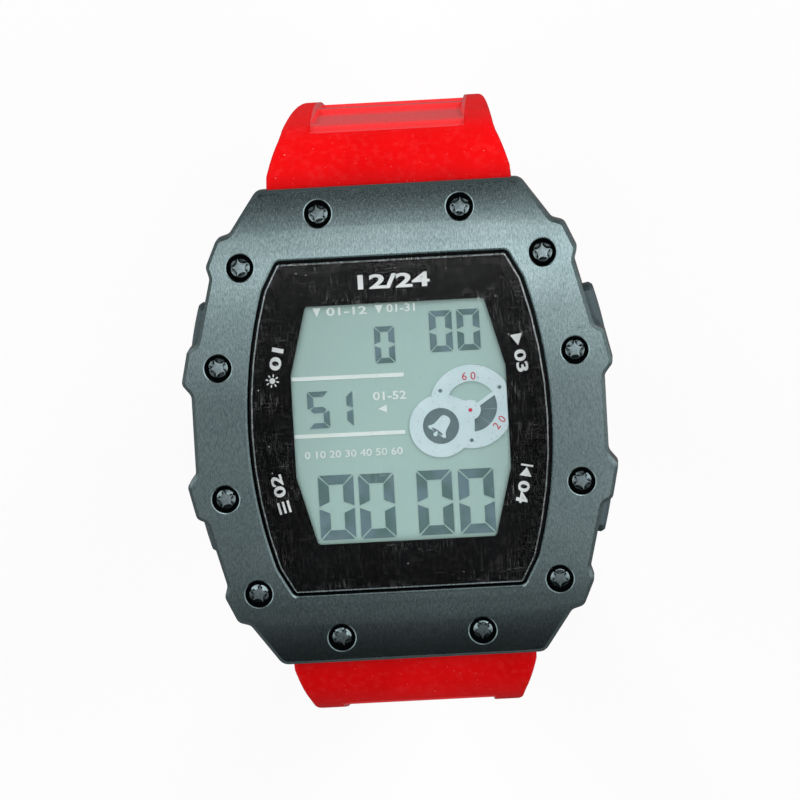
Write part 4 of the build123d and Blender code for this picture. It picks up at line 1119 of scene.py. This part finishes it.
first_hole, hole_pitch, hole_count, hole_radius = 9.0, 6.5, 7, 1.1
hole_stops = first_hole + hole_pitch * np.arange(hole_count)
hole_turn = np.maximum(hole_stops - tail_length, 0.0) / foot_radius
middle_radius = foot_radius - strap_thickness / 2
hole_y = tail_tip + np.minimum(hole_stops, tail_length) + middle_radius * np.sin(hole_turn)
hole_z = foot_middle[1] - middle_radius * np.cos(hole_turn)
punch = circle((0.0, 0.0), hole_radius, 40)
lean_y, lean_z = np.sin(hole_turn)[:, None], -np.cos(hole_turn)[:, None]
punch_rings = []
for reach_out in (-strap_thickness, strap_thickness):
    y = hole_y[:, None] + reach_out * lean_y - punch[:, 1] * lean_z
    z = hole_z[:, None] + reach_out * lean_z + punch[:, 1] * lean_y
    punch_rings.append(np.stack([punch[:, 0] + 0 * y, -y, z], axis=-1))
cutter = moulded("hole_punch", np.stack(punch_rings, axis=1), "strap_6")
punched = long_half.modifiers.new("punched_holes", "BOOLEAN")
punched.operation = "DIFFERENCE"
punched.solver = "EXACT"
punched.object = cutter
through = bpy.data.meshes.new_from_object(long_half.evaluated_get(bpy.context.evaluated_depsgraph_get()))
long_half.modifiers.clear()
through.set_sharp_from_angle(angle=math.radians(42))
long_half.data = through
bpy.data.objects.remove(cutter)

# The keeper: a loop of the same silicone that rides on the short half and takes in the tail of the
# long one when the watch is worn. It is moulded apart, a shade darker for being thinner.

keeper_rubber = worked(
    "keeper_rubber", "CC0407", "DE080C", 11.0, (0.42, 0.58), depth=0.007, specular_ior_level=0.1
)
dress(keeper_rubber, "free_keeper")

# The buckle: a stamped and tumbled stainless loop with its tongue, hung on a straight bar through
# the eye of the short half. It is brushed along its arms, and dull where it was tumbled.

along_arms = (2.5, 1.0, 0.3)
buckle_steel = worked(
    "buckle_steel", "6B7274", "979EA0", 10.0, (0.3, 0.46), depth=0.004, stretch=along_arms, metallic=1.0
)
dress(buckle_steel, "buckle_frame", "buckle_bar", "buckle_tongue")

# The stand and the light: a white table under the tail of the strap, and a sky of soft panels,
# overhead and at both sides, for the metal to mirror. Two weak lamps that no mirror shows stand
# behind twelve o'clock, and the camera looks almost straight down.

table = bpy.data.meshes.new("table")
table.from_pydata([(-4, -4, 0), (4, -4, 0), (4, 4, 0), (-4, 4, 0)], [], [(0, 1, 2, 3)])
table.transform(Matrix.Translation((0.0, 0.0, cad_box[0][2] - 0.0001)))
table_top = bpy.data.objects.new("table_top", table)
bpy.context.scene.collection.objects.link(table_top)

table_white = Finish("table_white", roughness=0.9)
seen = table_white.node("ShaderNodeLightPath", out="Is Camera Ray")
passed = table_white.node("ShaderNodeLightPath", out="Is Transmission Ray")
seen = (seen + passed).clamped()
mirrored_in = table_white.node("ShaderNodeLightPath", out="Is Glossy Ray")
grey_card = table_white.mix(mirrored_in, "ACACAC", "666666")
paper = table_white.mix(table_white.noise(0.01, 2.0), "F2F2F2", "F7F7F7")
table_white.feed(base_color=table_white.mix(seen, grey_card, paper))
plain = table_white.node("ShaderNodeEmission", (), {"Color": (1.0, 1.0, 1.0, 1.0), "Strength": 1.0})
lit = Signal(table_white, table_white.shader.outputs[0])
shown = seen * 0.86
whitened = table_white.node("ShaderNodeMixShader", (), {0: shown, 1: lit, 2: plain})
table_white.tree.links.new(whitened.socket, table_white.tree.nodes["Material Output"].inputs["Surface"])
table.materials.append(table_white.material)

sky = bpy.data.worlds.new("studio")
sky.use_nodes = True
air = Nodes(sky.node_tree)
way = air.node("ShaderNodeTexCoord", out="Generated")
aside, ahead, up = air.axes(way)
panels = [
    (-90, 0.04), (-62, 0.03), (-50, 0.0), (-30, 0.0), (-28.5, 0.12), (-20, 0.24), (-7, 0.27),
    (0, 0.28), (1, 0.44), (8, 0.52), (11, 0.85), (15.2, 1.3), (17.4, 0.15), (19, 0.0),
    (42, 0.0), (52, 0.08), (90, 0.05),
]
stops = [((lean + 90) / 180, (level, level, level, 1.0)) for lean, level in panels]
lean = ahead.math("ARCTAN2", up)
overhead = air.node("ShaderNodeValToRGB", {"stops": stops}, {0: lean / math.pi + 0.5})
overhead = overhead * (air.between(aside, -0.1, 0.02) * 2.0 + 0.6)
beside = air.between(abs(aside), 0.22, 0.42)
low_down = air.between(up, 0.0, 0.45) * 0.7 + 0.3
level = overhead * (1.0 - beside) + (ahead * 0.65 + 1.36) * low_down * beside
air.plug(sky.node_tree.nodes["Background"].inputs["Strength"], level)
air.plug(sky.node_tree.nodes["Background"].inputs["Color"], (1.0, 1.0, 1.0, 1.0))
bpy.context.scene.world = sky

for side, power in ((-1, 2.6), (1, 3.3)):
    light = bpy.data.lights.new("lamp_side", "AREA")
    light.shape = "RECTANGLE"
    light.size, light.size_y = 0.35, 0.5
    light.energy = power
    lamp = bpy.data.objects.new("lamp_side", light)
    lamp.location = (side * 0.66, 0.78, 0.4)
    lamp.rotation_euler = lamp.location.to_track_quat("Z", "Y").to_euler()
    lamp.visible_glossy = False
    bpy.context.scene.collection.objects.link(lamp)

camera = bpy.data.cameras.new("view")
camera.sensor_width = 36
camera.lens = 315
camera.clip_end = 10
camera_place = Matrix.Translation((0.0276, 0.076847, 0.716683))
camera_turn = Matrix(
    ((0.99788, 0.05232, 0.03872), (-0.05613, 0.99290, 0.10486), (-0.03296, -0.10681, 0.99373))
)
viewer = bpy.data.objects.new("view", camera)
viewer.matrix_world = camera_place @ camera_turn.to_4x4()
bpy.context.scene.collection.objects.link(viewer)
bpy.context.scene.camera = viewer
bpy.context.scene.view_settings.view_transform = "Standard"
